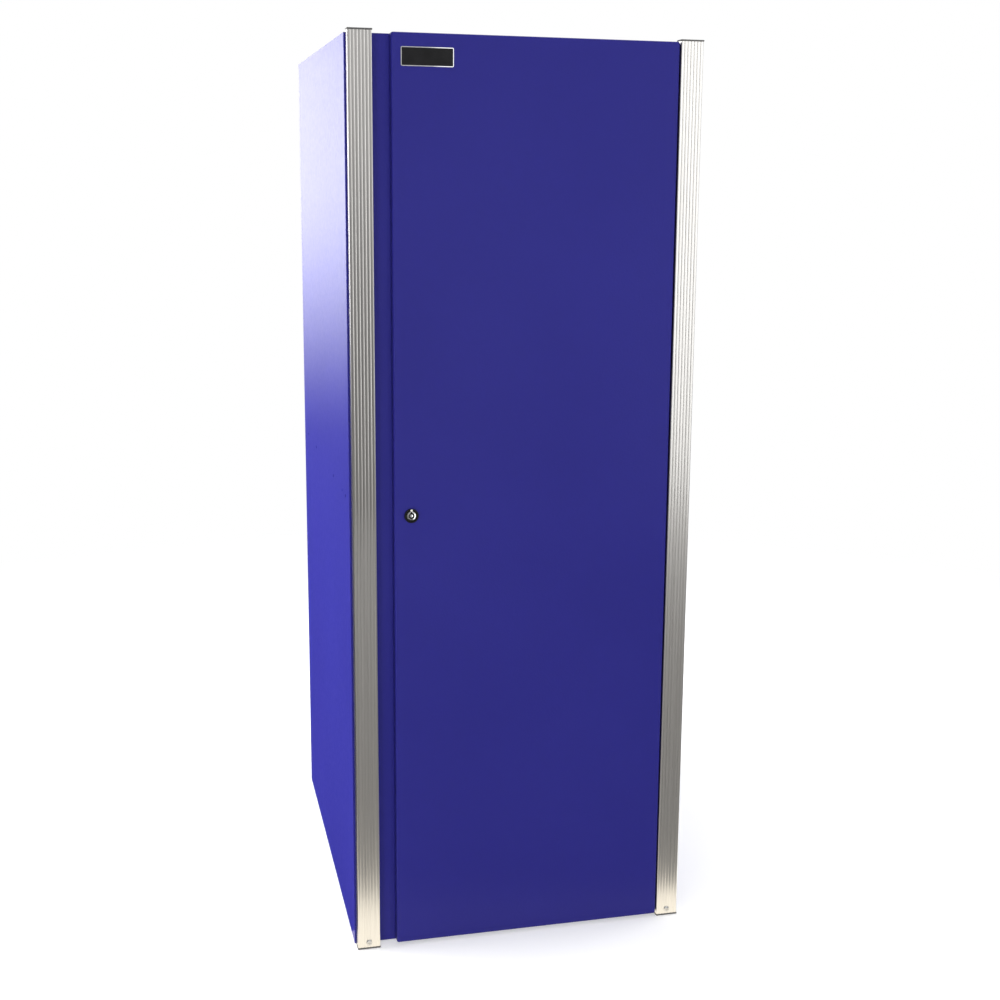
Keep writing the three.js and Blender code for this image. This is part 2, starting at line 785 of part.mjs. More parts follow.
function lockPlug() {
  const face = plugRecess - lockProud;
  const step = plugFaceLength - lockProud;
  const profile = [
    [0, face],
    [plugFaceRadius, face],
    [plugFaceRadius, step],
    [plugShaftRadius, step],
    [plugShaftRadius, lockLength],
    [plugStubRadius, lockLength],
    [plugStubRadius, camBack],
    [0, camBack],
  ];
  const ring = [
    [keywayInner, face - cutBeyond],
    [keywayOuter, face - cutBeyond],
    [keywayOuter, face + keywayDepth],
    [keywayInner, face + keywayDepth],
    [keywayInner, face - cutBeyond],
  ];
  const notchX = [-keywayNotch / 2, keywayNotch / 2];
  const notchZ = [keywayOuter - keywayNotch / 2, plugFaceRadius + cutBeyond];
  const notch = block(notchX, [face - cutBeyond, face + keywayDepth], notchZ);
  const tapped = camScrewRadius + plugClearance;
  const threadEnd = camBack - camScrewLength - plugClearance;
  const thread = turnedY(rodProfile(tapped, threadEnd, camBack + cutBeyond), 16);
  const plug = turnedY(profile, 32).subtract(turnedY(ring, 24)).subtract(notch).subtract(thread);
  return piece("lock_plug", plug, chromePlate());
}

// The cam hangs down when unlocked and turns to point left behind the stile's fold
function lockCam() {
  const half = camWidth / 2;
  const shape = new THREE.Shape();
  shape.absarc(0, 0, half, 0, Math.PI);
  shape.absarc(0, half - camReach, half, Math.PI, Math.PI * 2);
  const hole = new THREE.Path();
  hole.absarc(0, 0, plugStubRadius + plugClearance, 0, Math.PI * 2, true);
  shape.holes.push(hole);
  return piece("lock_cam", alongY(shape, [camFront, camBack]), zincSteel());
}

function camScrew() {
  const head = camBack + fit;
  const profile = [
    [0, camBack - camScrewLength],
    [camScrewRadius, camBack - camScrewLength],
    [camScrewRadius, head],
    [camScrewHead, head],
    [camScrewHead, head + camScrewHeadHeight / 2],
    [camScrewHead / 2, head + camScrewHeadHeight],
    [0, head + camScrewHeadHeight],
  ];
  return piece("lock_cam_screw", turnedY(profile, 20), zincSteel());
}

function cabinetGroup() {
  const group = new THREE.Group();
  const sides = { left: -1, right: 1 };
  const ends = ["bottom", "top"];
  group.add(topPanel(), bottomPanel(), backPanel(), topRail(), bottomRail());
  group.add(stile("frame_stile_left", -1, []));
  group.add(stile("frame_stile_right", 1, ends.map(armSlot)));
  for (const [label, side] of Object.entries(sides)) {
    group.add(sidePanel(`side_panel_${label}`, side));
    group.add(cornerTrim(`corner_trim_${label}`, side));
    group.add(trimScrew(`trim_screw_${label}`, side));
    for (const end of ends) {
      group.add(trimCap(`trim_cap_${label}_${end}`, side, end));
    }
    standardDepths.forEach((depth, row) => {
      const place = `${label}_${row === 0 ? "front" : "rear"}`;
      group.add(shelfStandard(`shelf_standard_${place}`, side, depth));
      for (const [level, slot] of Object.entries(shelfSlots)) {
        group.add(shelfClip(`shelf_clip_${level}_${place}`, side, depth, slot));
      }
    });
  }
  for (const [level, slot] of Object.entries(shelfSlots)) {
    group.add(shelf(`shelf_${level}`, slot));
  }
  group.add(doorBumper("door_bumper_bottom", doorLift + bumperEndGap));
  group.add(doorBumper("door_bumper_top", doorTop - bumperEndGap));
  for (const end of ends) {
    group.add(pivotBracket(`pivot_bracket_${end}`, end));
    group.add(pivotPin(`pivot_pin_${end}`, end));
  }
  return group;
}

function lockGroup() {
  const group = new THREE.Group();
  group.add(lockBody(), lockNut(), lockPlug(), lockCam(), camScrew());
  group.position.set(lockX, panelY[0], lockHeight);
  return group;
}

function doorGroup() {
  const group = new THREE.Group();
  group.add(doorPanel(), doorStiffener(), badgeBezel(), badgePlate(), lockGroup());
  for (const end of ["bottom", "top"]) {
    group.add(pivotPlate(`pivot_plate_${end}`, end));
    group.add(pivotBushing(`pivot_bushing_${end}`, end));
  }
  group.position.set(pivotX, pivotY, 0);
  return group;
}

const locker = new THREE.Group();
locker.add(cabinetGroup(), doorGroup());

export default locker;
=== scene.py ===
import json
import math

import bmesh
import bpy
from mathutils import Matrix, Vector

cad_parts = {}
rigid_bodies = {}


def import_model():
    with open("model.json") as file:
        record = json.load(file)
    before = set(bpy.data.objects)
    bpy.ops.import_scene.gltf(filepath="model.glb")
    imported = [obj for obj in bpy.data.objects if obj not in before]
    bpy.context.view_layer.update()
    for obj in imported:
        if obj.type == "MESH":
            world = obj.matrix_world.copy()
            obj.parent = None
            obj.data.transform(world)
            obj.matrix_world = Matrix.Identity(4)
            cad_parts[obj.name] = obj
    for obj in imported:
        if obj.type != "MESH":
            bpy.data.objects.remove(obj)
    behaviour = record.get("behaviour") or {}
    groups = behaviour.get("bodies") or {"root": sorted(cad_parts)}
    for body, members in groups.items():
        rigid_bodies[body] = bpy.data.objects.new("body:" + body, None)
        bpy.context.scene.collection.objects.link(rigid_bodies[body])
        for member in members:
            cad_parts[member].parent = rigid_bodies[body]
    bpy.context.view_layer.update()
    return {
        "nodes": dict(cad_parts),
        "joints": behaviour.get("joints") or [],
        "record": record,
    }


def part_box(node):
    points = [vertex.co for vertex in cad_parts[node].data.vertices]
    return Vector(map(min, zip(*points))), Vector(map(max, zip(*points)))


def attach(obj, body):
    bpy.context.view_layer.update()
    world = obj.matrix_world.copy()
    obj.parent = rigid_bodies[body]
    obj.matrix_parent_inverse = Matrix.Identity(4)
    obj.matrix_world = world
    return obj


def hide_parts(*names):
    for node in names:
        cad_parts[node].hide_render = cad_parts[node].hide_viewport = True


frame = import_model()
record = frame["record"]
bodyOf = {node: body for body, members in record["behaviour"]["bodies"].items() for node in members}
slotOf = {part["node"]: part["material_slot"] for part in record["subparts"]}
jointAt = {joint["name"]: Vector(joint["pos_m"]) for joint in frame["joints"]}
print("frame loaded:", len(frame["nodes"]), "nodes")


def camelName(words):
    first, *rest = words.split("_")
    return first + "".join(word.capitalize() for word in rest)


# Camera, as solved from the edges of the locker
photoCamera = {
    "place": (-0.475244, -2.236667, 1.067009),
    "yaw": 14.46489,  # degrees, turned right from +Y
    "pitch": 11.09334,  # looking down
    "roll": 0.714516,
    "lens": 53.841,
    "sensor": 36.0,
    "shift": (-0.04184, -0.03105),
}


def placeCamera():
    data = bpy.data.cameras.new("photoCamera")
    data.lens = photoCamera["lens"]
    data.sensor_width = photoCamera["sensor"]
    data.shift_x, data.shift_y = photoCamera["shift"]
    camera = bpy.data.objects.new("photoCamera", data)
    bpy.context.scene.collection.objects.link(camera)
    turn = Matrix.Rotation(math.radians(-photoCamera["yaw"]), 4, "Z")
    tilt = Matrix.Rotation(math.radians(90 - photoCamera["pitch"]), 4, "X")
    roll = Matrix.Rotation(math.radians(photoCamera["roll"]), 4, "Z")
    camera.matrix_world = Matrix.Translation(photoCamera["place"]) @ turn @ tilt @ roll
    bpy.context.scene.camera = camera


placeCamera()
bpy.context.scene.view_settings.view_transform = "Standard"
print("camera placed")


# Shader building blocks
def feed(tree, socket, source):
    if isinstance(source, bpy.types.NodeSocket):
        tree.links.new(source, socket)
    else:
        socket.default_value = source


# Each input gets a value or another node's output
def addNode(tree, kind, inputs=None, **settings):
    node = tree.nodes.new(kind)
    for key, value in settings.items():
        setattr(node, key, value)
    for socket, source in (inputs or {}).items():
        feed(tree, node.inputs[socket], source)
    return node


def objectPlace(tree):
    return addNode(tree, "ShaderNodeTexCoord").outputs["Object"]


def noiseAt(tree, place, scale, detail):
    inputs = {"Vector": place, "Scale": scale, "Detail": detail}
    return addNode(tree, "ShaderNodeTexNoise", inputs).outputs["Fac"]


def spread(tree, value, start, end, low=0.0, high=1.0, style="LINEAR"):
    inputs = {"Value": value, "From Min": start, "From Max": end, "To Min": low, "To Max": high}
    return addNode(tree, "ShaderNodeMapRange", inputs, interpolation_type=style).outputs["Result"]


def calculate(tree, operation, first, second):
    return addNode(tree, "ShaderNodeMath", {0: first, 1: second}, operation=operation).outputs[0]


def openGroup(name, inputs, output):
    group = bpy.data.node_groups.new(name, "ShaderNodeTree")
    for socket, value in inputs.items():
        kind = "NodeSocketFloat" if isinstance(value, float) else "NodeSocketVector"
        group.interface.new_socket(socket, in_out="INPUT", socket_type=kind).default_value = value
    group.interface.new_socket(output, in_out="OUTPUT", socket_type="NodeSocketFloat")
    return group, addNode(group, "NodeGroupInput").outputs


# Noise that can be stretched, spread between two values
def makeGrain():
    sockets = {"Stretch": (1, 1, 1), "Scale": 100.0, "Detail": 2.0, "Low": 0.0, "High": 1.0}
    group, given = openGroup("grain", sockets, "Value")
    place = addNode(group, "ShaderNodeMapping", {"Vector": objectPlace(group), "Scale": given["Stretch"]})
    noise = noiseAt(group, place.outputs["Vector"], given["Scale"], given["Detail"])
    addNode(group, "NodeGroupOutput", {"Value": spread(group, noise, 0.3, 0.7, given["Low"], given["High"])})
    return group


# Hairline scratches in two directions, as a mask
def makeScratches():
    group, given = openGroup("scratches", {"Scale": 60.0, "Amount": 0.5}, "Mask")
    masks = []
    for slant in (0.5, -0.9):
        inputs = {"Vector": objectPlace(group), "Rotation": (slant, slant * 0.7, slant), "Scale": (1, 18, 18)}
        place = addNode(group, "ShaderNodeMapping", inputs).outputs["Vector"]
        masks.append(spread(group, noiseAt(group, place, given["Scale"], 1.0), 0.66, 0.72))
    either = calculate(group, "MAXIMUM", *masks)
    addNode(group, "NodeGroupOutput", {"Mask": calculate(group, "MULTIPLY", either, given["Amount"])})
    return group


# Dust that settles on what faces up, as a mask
def makeDust():
    group, given = openGroup("dust", {"Scale": 30.0, "Amount": 0.1}, "Mask")
    normal = addNode(group, "ShaderNodeNewGeometry").outputs["Normal"]
    facing = addNode(group, "ShaderNodeSeparateXYZ", {0: normal}).outputs["Z"]
    patches = spread(group, noiseAt(group, objectPlace(group), given["Scale"], 6.0), 0.35, 0.7)
    both = calculate(group, "MULTIPLY", spread(group, facing, 0.55, 1.0), patches)
    addNode(group, "NodeGroupOutput", {"Mask": calculate(group, "MULTIPLY", both, given["Amount"])})
    return group


grainGroup = makeGrain()
scratchGroup = makeScratches()
dustGroup = makeDust()


def useGroup(tree, group, **values):
    return addNode(tree, "ShaderNodeGroup", values, node_tree=group).outputs[0]


def grainIn(tree, scale, span=(0.0, 1.0), **values):
    return useGroup(tree, grainGroup, Scale=scale, Low=span[0], High=span[1], **values)


def blendColours(tree, factor, first, second):
    inputs = {0: factor}
    for socket, colour in ((6, first), (7, second)):
        inputs[socket] = (*colour, 1) if isinstance(colour, tuple) else colour
    return addNode(tree, "ShaderNodeMix", inputs, data_type="RGBA").outputs[2]


def bumpFrom(tree, height, strength, distance, under=None):
    inputs = {"Height": height, "Strength": strength, "Distance": distance}
    if under is not None:
        inputs["Normal"] = under
    return addNode(tree, "ShaderNodeBump", inputs).outputs["Normal"]


def newFinish(name, **values):
    finish = bpy.data.materials.new(name)
    finish.use_nodes = True
    shader = finish.node_tree.nodes["Principled BSDF"]
    for socket, value in values.items():
        shader.inputs[socket.replace("_", " ")].default_value = value
    return finish, finish.node_tree, shader


def plugIn(tree, shader, colour, roughness, normal):
    tree.links.new(colour, shader.inputs["Base Color"])
    tree.links.new(roughness, shader.inputs["Roughness"])
    tree.links.new(normal, shader.inputs["Normal"])


# Finishes, one for each slot of the record
bluePaint = {
    "deep": (0.0185, 0.0172, 0.186),
    "fresh": (0.0203, 0.0190, 0.200),
    "dust": (0.34, 0.34, 0.36),
    "roughness": (0.34, 0.38),
    "peelScale": 420.0,  # orange peel bumps per metre
    "peelDepth": 0.00012,
    "waveScale": 5.0,  # slow waves of a large flat sheet
    "waveDepth": 0.0005,
}


def makeBluePaint():
    finish, tree, shader = newFinish("bluePaint", Specular_IOR_Level=0.15)
    cloud = grainIn(tree, scale=3.5, Detail=3.0)
    paint = blendColours(tree, cloud, bluePaint["deep"], bluePaint["fresh"])
    dust = useGroup(tree, dustGroup, Scale=70.0, Amount=0.018)
    peel = grainIn(tree, scale=bluePaint["peelScale"], Detail=1.5)
    wave = grainIn(tree, scale=bluePaint["waveScale"], Detail=1.0)
    slow = bumpFrom(tree, wave, strength=0.12, distance=bluePaint["waveDepth"])
    plugIn(
        tree,
        shader,
        colour=blendColours(tree, dust, paint, bluePaint["dust"]),
        roughness=grainIn(tree, scale=150.0, span=bluePaint["roughness"], Detail=4.0),
        normal=bumpFrom(tree, peel, strength=0.5, distance=bluePaint["peelDepth"], under=slow),
    )
    return finish


trimMetal = {
    "light": (0.80, 0.785, 0.76),
    "dark": (0.72, 0.705, 0.68),
    "roughness": (0.26, 0.36),
    "drawLines": (1.0, 1.0, 0.004),  # stretched along the extrusion
}


def makeTrimMetal():
    finish, tree, shader = newFinish("trimMetal", Metallic=1.0)
    line = grainIn(tree, scale=1600.0, Stretch=trimMetal["drawLines"])
    plugIn(
        tree,
        shader,
        colour=blendColours(tree, line, trimMetal["dark"], trimMetal["light"]),
        roughness=grainIn(tree, scale=500.0, span=trimMetal["roughness"], Stretch=trimMetal["drawLines"]),
        normal=bumpFrom(tree, line, strength=0.25, distance=0.00005),
    )
    return finish


plastics = {
    "cap_plastic": {
        "dark": (0.075, 0.074, 0.073),
        "light": (0.092, 0.091, 0.090),
        "roughness": (0.45, 0.58),
        "grainScale": 1500.0,
        "grainDepth": 0.00006,
    },
    "bumper_rubber": {
        "dark": (0.010, 0.010, 0.010),
        "light": (0.017, 0.016, 0.016),
        "roughness": (0.72, 0.85),
        "grainScale": 900.0,
        "grainDepth": 0.0001,
    },
    "bushing_nylon": {
        "dark": (0.74, 0.72, 0.65),
        "light": (0.80, 0.78, 0.72),
        "roughness": (0.42, 0.52),
        "grainScale": 700.0,
        "grainDepth": 0.00005,
    },
}


def makePlastic(slot):
    look = plastics[slot]
    finish, tree, shader = newFinish(camelName(slot))
    mottle = grainIn(tree, scale=45.0, Detail=4.0)
    grain = grainIn(tree, scale=look["grainScale"], Detail=3.0)
    plugIn(
        tree,
        shader,
        colour=blendColours(tree, mottle, look["dark"], look["light"]),
        roughness=grainIn(tree, scale=160.0, span=look["roughness"]),
        normal=bumpFrom(tree, grain, strength=0.4, distance=look["grainDepth"]),
    )
    return finish


platedMetals = {
    "zinc_steel": {
        "dark": (0.56, 0.57, 0.59),
        "light": (0.68, 0.67, 0.65),
        "roughness": (0.28, 0.42),
        "flakeScale": 260.0,
        "scratch": 0.15,
    },
    "bright_chrome": {
        "dark": (0.78, 0.79, 0.80),
        "light": (0.86, 0.86, 0.86),
        "roughness": (0.05, 0.10),
        "flakeScale": 120.0,
        "scratch": 0.12,
    },
}
roughPatch = 0.4  # roughness changes over wider patches than colour


def makePlatedMetal(slot):
    look = platedMetals[slot]
    finish, tree, shader = newFinish(camelName(slot), Metallic=1.0)
    flakes = grainIn(tree, scale=look["flakeScale"], Detail=5.0)
    scratches = useGroup(tree, scratchGroup, Scale=90.0, Amount=look["scratch"])
    base = grainIn(tree, scale=look["flakeScale"] * roughPatch, span=look["roughness"])
    plugIn(
        tree,
        shader,
        colour=blendColours(tree, flakes, look["dark"], look["light"]),
        roughness=calculate(tree, "ADD", base, scratches),
        normal=bumpFrom(tree, flakes, strength=0.15, distance=0.00004),
    )
    return finish


glossBlacks = {
    "lock_black": {
        "dark": (0.005, 0.005, 0.0055),
        "light": (0.008, 0.008, 0.0085),
        "roughness": (0.18, 0.28),
        "specular": 0.3,
    },
    "badge_black": {
        "dark": (0.007, 0.007, 0.0075),
        "light": (0.011, 0.011, 0.012),
        "roughness": (0.3, 0.4),
        "specular": 0.16,
    },
}


def makeGlossBlack(slot):
    look = glossBlacks[slot]
    finish, tree, shader = newFinish(camelName(slot), Specular_IOR_Level=look["specular"])
    cloud = grainIn(tree, scale=70.0, Detail=3.0)
    scratches = useGroup(tree, scratchGroup, Scale=70.0, Amount=0.12)
    base = grainIn(tree, scale=200.0, span=look["roughness"])
    plugIn(
        tree,
        shader,
        colour=blendColours(tree, cloud, look["dark"], look["light"]),
        roughness=calculate(tree, "ADD", base, scratches),
        normal=bumpFrom(tree, cloud, strength=0.1, distance=0.0001),
    )
    return finish


finishes = {"blue_paint": makeBluePaint(), "trim_aluminium": makeTrimMetal()}
for looks, makeFinish in (
    (plastics, makePlastic),
    (platedMetals, makePlatedMetal),
    (glossBlacks, makeGlossBlack),
):
    for slot in looks:
        finishes[slot] = makeFinish(slot)
print("finishes made:", len(finishes))


# Modelling by hand, in operators
# how far a cutter runs past what it cuts, and the length of a drill
cutter = {"past": 0.001, "farPast": 0.01, "drill": 0.01}
sameSpot = 1e-5  # metres within which two places are the same
mergeSpan = 1e-6
aligned = 0.99  # cosine from which two directions are the same
foldSteps = 5  # segments round a fold


def putDown():
    if bpy.context.mode != "OBJECT":
        bpy.ops.object.mode_set(mode="OBJECT")
    bpy.ops.object.select_all(action="DESELECT")


def takeUp(piece):
    putDown()
    piece.select_set(True)
    bpy.context.view_layer.objects.active = piece


def named(name):
    piece = bpy.context.object
    piece.name = name
    piece.data.name = name
    bpy.ops.object.transform_apply(location=True, rotation=True, scale=True)
    return piece


def addBlock(name, low, high):
    putDown()
    low, high = Vector(low), Vector(high)
    bpy.ops.mesh.primitive_cube_add(size=1, location=(low + high) / 2, scale=high - low)
    return named(name)


axisTurn = {"X": (0, math.pi / 2, 0), "Y": (math.pi / 2, 0, 0), "Z": (0, 0, 0)}


def addRod(name, centre, axis, radius, length, sides):
    putDown()
    bpy.ops.mesh.primitive_cylinder_add(
        vertices=sides, radius=radius, depth=length, location=centre, rotation=axisTurn[axis]
    )
    return named(name)


def pick(piece, kind, wanted):
    takeUp(piece)
    bpy.ops.object.mode_set(mode="EDIT")
    bpy.ops.mesh.select_mode(type=kind)
    bpy.ops.mesh.select_all(action="DESELECT")
    mesh = bmesh.from_edit_mesh(piece.data)
    if kind == "FACE":
        for face in mesh.faces:
            if wanted(face.calc_center_median(), face.normal):
                face.select_set(True)
    else:
        for edge in mesh.edges:
            start, end = (corner.co for corner in edge.verts)
            if wanted((start + end) / 2, end - start):
                edge.select_set(True)
    bmesh.update_edit_mesh(piece.data)


def pickAll(piece):
    takeUp(piece)
    bpy.ops.object.mode_set(mode="EDIT")
    bpy.ops.mesh.select_mode(type="VERT")
    bpy.ops.mesh.select_all(action="SELECT")


def pull(step):
    bpy.ops.mesh.extrude_region_move(TRANSFORM_OT_translate={"value": step})


def roundOff(radius, steps):
    bpy.ops.mesh.bevel(offset=radius, segments=steps, profile=0.5, affect="EDGES")


def roundAlong(piece, axis, radius, steps):
    part = "XYZ".index(axis)
    pick(piece, "EDGE", lambda place, along: abs(along[part]) > aligned * along.length)
    roundOff(radius, steps)


def quarterTurn(steps):
    return [math.pi / 2 * step / steps for step in range(steps + 1)]


def modify(piece, kind, **settings):
    takeUp(piece)
    modifier = piece.modifiers.new(kind.lower(), kind)
    for key, value in settings.items():
        setattr(modifier, key, value)
    bpy.ops.object.modifier_apply(modifier=modifier.name)


def repeat(piece, count, step):
    modify(
        piece,
        "ARRAY",
        count=count,
        use_relative_offset=False,
        use_constant_offset=True,
        constant_offset_displace=step,
    )


def combine(piece, operation, other):
    modify(piece, "BOOLEAN", operation=operation, solver="MANIFOLD", object=other)
    bpy.data.objects.remove(other)


def cutAway(piece, shape):
    combine(piece, "DIFFERENCE", shape)


def drill(piece, centre, axis, radius, sides=24):
    cutAway(piece, addRod("hole", centre, axis, radius, cutter["drill"], sides))


def drawLine(name, points):
    putDown()
    bpy.ops.mesh.primitive_plane_add(size=0.01, location=points[0])
    line = named(name)
    pickAll(line)
    bpy.ops.mesh.merge(type="CENTER")
    for here, there in zip(points, points[1:]):
        pull(there - here)
    return line


def thicken(piece, sheet):
    modify(piece, "SOLIDIFY", thickness=sheet, offset=-1, use_even_offset=True)


# A sheet drawn as its outer line, run out, rounded at its folds and made as thick as its stock
def foldSheet(name, path, run, inside, stock):
    sheet, bend = stock["sheet"], stock["bend"]
    piece = drawLine(name, path)
    bpy.ops.mesh.select_all(action="SELECT")
    pull(run)
    side = inside
    for before, fold, after in zip(path, path[1:], path[2:]):
        inward = (after - fold).dot(side) > 0
        middle = fold + run / 2
        pick(piece, "EDGE", lambda place, along: (place - middle).length < sameSpot)
        roundOff(bend if inward else bend - sheet, foldSteps)
        back = (before - fold).normalized()
        side = back if inward else -back
    pickAll(piece)
    bpy.ops.mesh.normals_make_consistent(inside=False)
    first = (path[0] + path[1] + run) / 2
    mesh = bmesh.from_edit_mesh(piece.data)
    nearest = min(mesh.faces, key=lambda face: (face.calc_center_median() - first).length)
    if nearest.normal.dot(inside) > 0:
        bpy.ops.mesh.flip_normals()
    thicken(piece, sheet)
    return piece


# A closed line filled and run out
def runOut(name, outline, run):
    piece = drawLine(name, outline + outline[:1])
    pickAll(piece)
    bpy.ops.mesh.remove_doubles(threshold=mergeSpan)
    bpy.ops.mesh.edge_face_add()
    pull(run)
    pickAll(piece)
    bpy.ops.mesh.normals_make_consistent(inside=False)
    return piece


# A line of (radius, distance) points turned round an axis through the centre, along Y
def turn(name, profile, centre, steps):
    along, out = Vector((0, 1, 0)), Vector((0, 0, 1))
    piece = drawLine(name, [centre + out * radius + along * place for radius, place in profile])
    pickAll(piece)
    bpy.ops.mesh.spin(steps=steps, angle=math.tau, center=centre, axis=along)
    pickAll(piece)
    bpy.ops.mesh.remove_doubles(threshold=mergeSpan)
    bpy.ops.mesh.normals_make_consistent(inside=False)
    return piece


def finishEdges(piece, width, steps=2, sharp=50):
    if width:
        modify(
            piece,
            "BEVEL",
            width=width,
            segments=steps,
            limit_method="ANGLE",
            angle_limit=math.radians(40),
        )
    takeUp(piece)
    bpy.ops.object.shade_smooth_by_angle(angle=math.radians(sharp))
    modify(piece, "WEIGHTED_NORMAL", keep_sharp=True, weight=90)


def settle(piece, node, finish=None):
    putDown()
    piece.data.materials.clear()
    piece.data.materials.append(finish or finishes[slotOf[node]])
    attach(piece, bodyOf[node])
    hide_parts(node)


def complete(piece, node, edge=0, steps=2, sharp=50, finish=None):
    finishEdges(piece, edge, steps, sharp)
    settle(piece, node, finish)


# Carcass of folded sheet
carcass = {
    "sheet": 0.0012,
    "bend": 0.002,
    "fit": 0.0002,
    "edge": 0.0003,  # paint rounds the cut edges
    "flange": 0.015,  # folded edges of a side panel
    "foot": 0.024,
    "holeRadius": 0.0025,
    "holeHeight": 0.638,
    "holeDepths": (0.059, 0.0975, 0.2005, 0.436, 0.560),  # behind the door front
}

# Spot welds, shallow round marks in a row up a flange
spotWeld = {
    "pitch": 0.1,
    "radius": 0.0026,
    "depth": 0.00035,
    "bowl": ((0, 1), (0.45, 0.85), (0.8, 0.45), (1, 0)),  # shares of radius and depth
    "brim": 1.2,
    "clear": 0.0004,
    "fromEnd": 0.04,
    "across": 0.55,  # share of a side panel's flange
}


def markWelds(piece, start, end):
    radius, depth, clear = spotWeld["radius"], spotWeld["depth"], spotWeld["clear"]
    profile = [(radius * across, -depth * down) for across, down in spotWeld["bowl"]]
    profile += [(radius * spotWeld["brim"], clear), (0, clear)]
    length = (end - start).length - 2 * spotWeld["fromEnd"]
    count = round(length / spotWeld["pitch"]) + 1
    along = (end - start).normalized()
    marks = turn("marks", profile, start + along * spotWeld["fromEnd"], steps=24)
    repeat(marks, count, along * length / (count - 1))
    cutAway(piece, marks)


def makeSidePanel(label):
    node = f"side_panel_{label}"
    low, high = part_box(node)
    inward = 1 if label == "left" else -1
    outer = low.x if label == "left" else high.x
    edge = outer + inward * carcass["flange"]
    corners = ((edge, high.y), (outer, high.y), (outer, low.y), (edge, low.y))
    path = [Vector((x, y, low.z)) for x, y in corners]
    panel = foldSheet(camelName(node), path, Vector((0, 0, high.z - low.z)), Vector((0, -1, 0)), carcass)
    clear = carcass["bend"]
    left, right = sorted((outer + inward * carcass["fit"], outer + inward * carcass["foot"]))
    foot = addBlock("foot", (left, low.y + clear, low.z), (right, high.y - clear, low.z + carcass["sheet"]))
    combine(panel, "UNION", foot)
    rear = outer + inward * carcass["flange"] * spotWeld["across"]
    markWelds(panel, Vector((rear, high.y, low.z)), Vector((rear, high.y, high.z)))
    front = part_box("door_panel")[0].y
    for depth in carcass["holeDepths"]:
        centre = Vector((outer, front + depth, carcass["holeHeight"]))
        drill(panel, centre, "X", carcass["holeRadius"])
    complete(panel, node, carcass["edge"])


def makeTopPanel(node, edgeUp):
    low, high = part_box(node)
    flat, edge = (low.z, high.z) if edgeUp else (high.z, low.z)
    corners = ((high.x, edge), (high.x, flat), (low.x, flat), (low.x, edge))
    path = [Vector((x, low.y, z)) for x, z in corners]
    panel = foldSheet(camelName(node), path, Vector((0, high.y - low.y, 0)), Vector((-1, 0, 0)), carcass)
    far = cutter["farPast"]
    reach = carcass["flange"] - carcass["sheet"]
    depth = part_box("side_panel_left")[0].y + carcass["bend"] + carcass["fit"]
    for left, right in ((low.x - far, low.x + reach), (high.x - reach, high.x + far)):
        cutAway(panel, addBlock("corner", (left, low.y - far, low.z - far), (right, depth, high.z + far)))
    complete(panel, node, carcass["edge"])


def makeBackPanel():
    low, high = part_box("back_panel")
    panel = addBlock("backPanel", low, high)
    complete(panel, "back_panel", carcass["edge"])


# Front frame
frontFrame = {
    "notch": 0.0028,  # end of a stile's fold, cut clear of the floor and top panels
    "screwHole": 0.0022,
}


def drillScrewHole(piece, label, face):
    low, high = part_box(f"trim_screw_{label}")
    centre = (low + high) / 2
    centre.y = face
    drill(piece, centre, "Y", frontFrame["screwHole"])


def makeStile(label):
    node = f"frame_stile_{label}"
    low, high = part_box(node)
    outer, inner = (low.x, high.x) if label == "left" else (high.x, low.x)
    path = [Vector((x, y, low.z)) for x, y in ((outer, low.y), (inner, low.y), (inner, high.y))]
    stile = foldSheet(camelName(node), path, Vector((0, 0, high.z - low.z)), Vector((0, 1, 0)), carcass)
    drillScrewHole(stile, label, low.y)
    far, behind = cutter["farPast"], low.y + carcass["sheet"]
    topNotch = high.z - carcass["sheet"] - carcass["fit"]
    for start, end in ((low.z - far, frontFrame["notch"]), (topNotch, high.z + far)):
        cutAway(stile, addBlock("notch", (low.x - far, behind, start), (high.x + far, high.y + far, end)))
    if label == "right":
        for end in ("bottom", "top"):
            cutAway(stile, armOpening(end, low.y))
    complete(stile, node, carcass["edge"])


def makeRail(label):
    node = f"frame_rail_{label}"
    low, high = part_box(node)
    top, edge = (high.z, low.z) if label == "top" else (low.z, high.z)
    path = [Vector((low.x, y, z)) for y, z in ((low.y, top), (low.y, edge), (high.y, edge))]
    rail = foldSheet(camelName(node), path, Vector((high.x - low.x, 0, 0)), Vector((0, 1, 0)), carcass)
    complete(rail, node, carcass["edge"])


# Door pivots
doorPivot = {
    "armInset": 0.0028,  # arm from the end of the door
    "armThick": 0.002,
    "armGap": 0.0005,
    "slotLength": 0.025,  # left of the pivot axis
    "openingEnd": 0.0028,  # of the stile's opening, left of the pivot axis
    "openingDepth": 0.003,
}


def armHeights(end, gap):
    low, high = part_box("door_panel")
    near, far = doorPivot["armInset"] - gap, doorPivot["armInset"] + doorPivot["armThick"] + gap
    return (low.z + near, low.z + far) if end == "bottom" else (high.z - far, high.z - near)


def armOpening(end, front):
    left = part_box(f"pivot_bracket_{end}")[0].x - carcass["fit"]
    right = jointAt["door_hinge"].x - doorPivot["openingEnd"]
    bottom, top = armHeights(end, carcass["fit"])
    behind = front + doorPivot["openingDepth"]
    return addBlock("armOpening", (left, front - cutter["past"], bottom), (right, behind, top))


# Door
door = {
    "sheet": 0.001,
    "corner": 0.003,
    "cornerSteps": 6,
    "bend": 0.0028,
    "bendSteps": 5,
    "hem": 0.012,
    "rearBend": 0.0012,
    "rearSteps": 3,
    "openFrom": 0.004,  # the opening between the hems is cut from here, in front of the rear
    "mitre": 0.0007,  # gap where two hems meet
    "mitreReach": 0.0144,
    "mitreDepth": 0.0008,
    "lockHole": 0.0082,
    "edge": 0.00025,
}


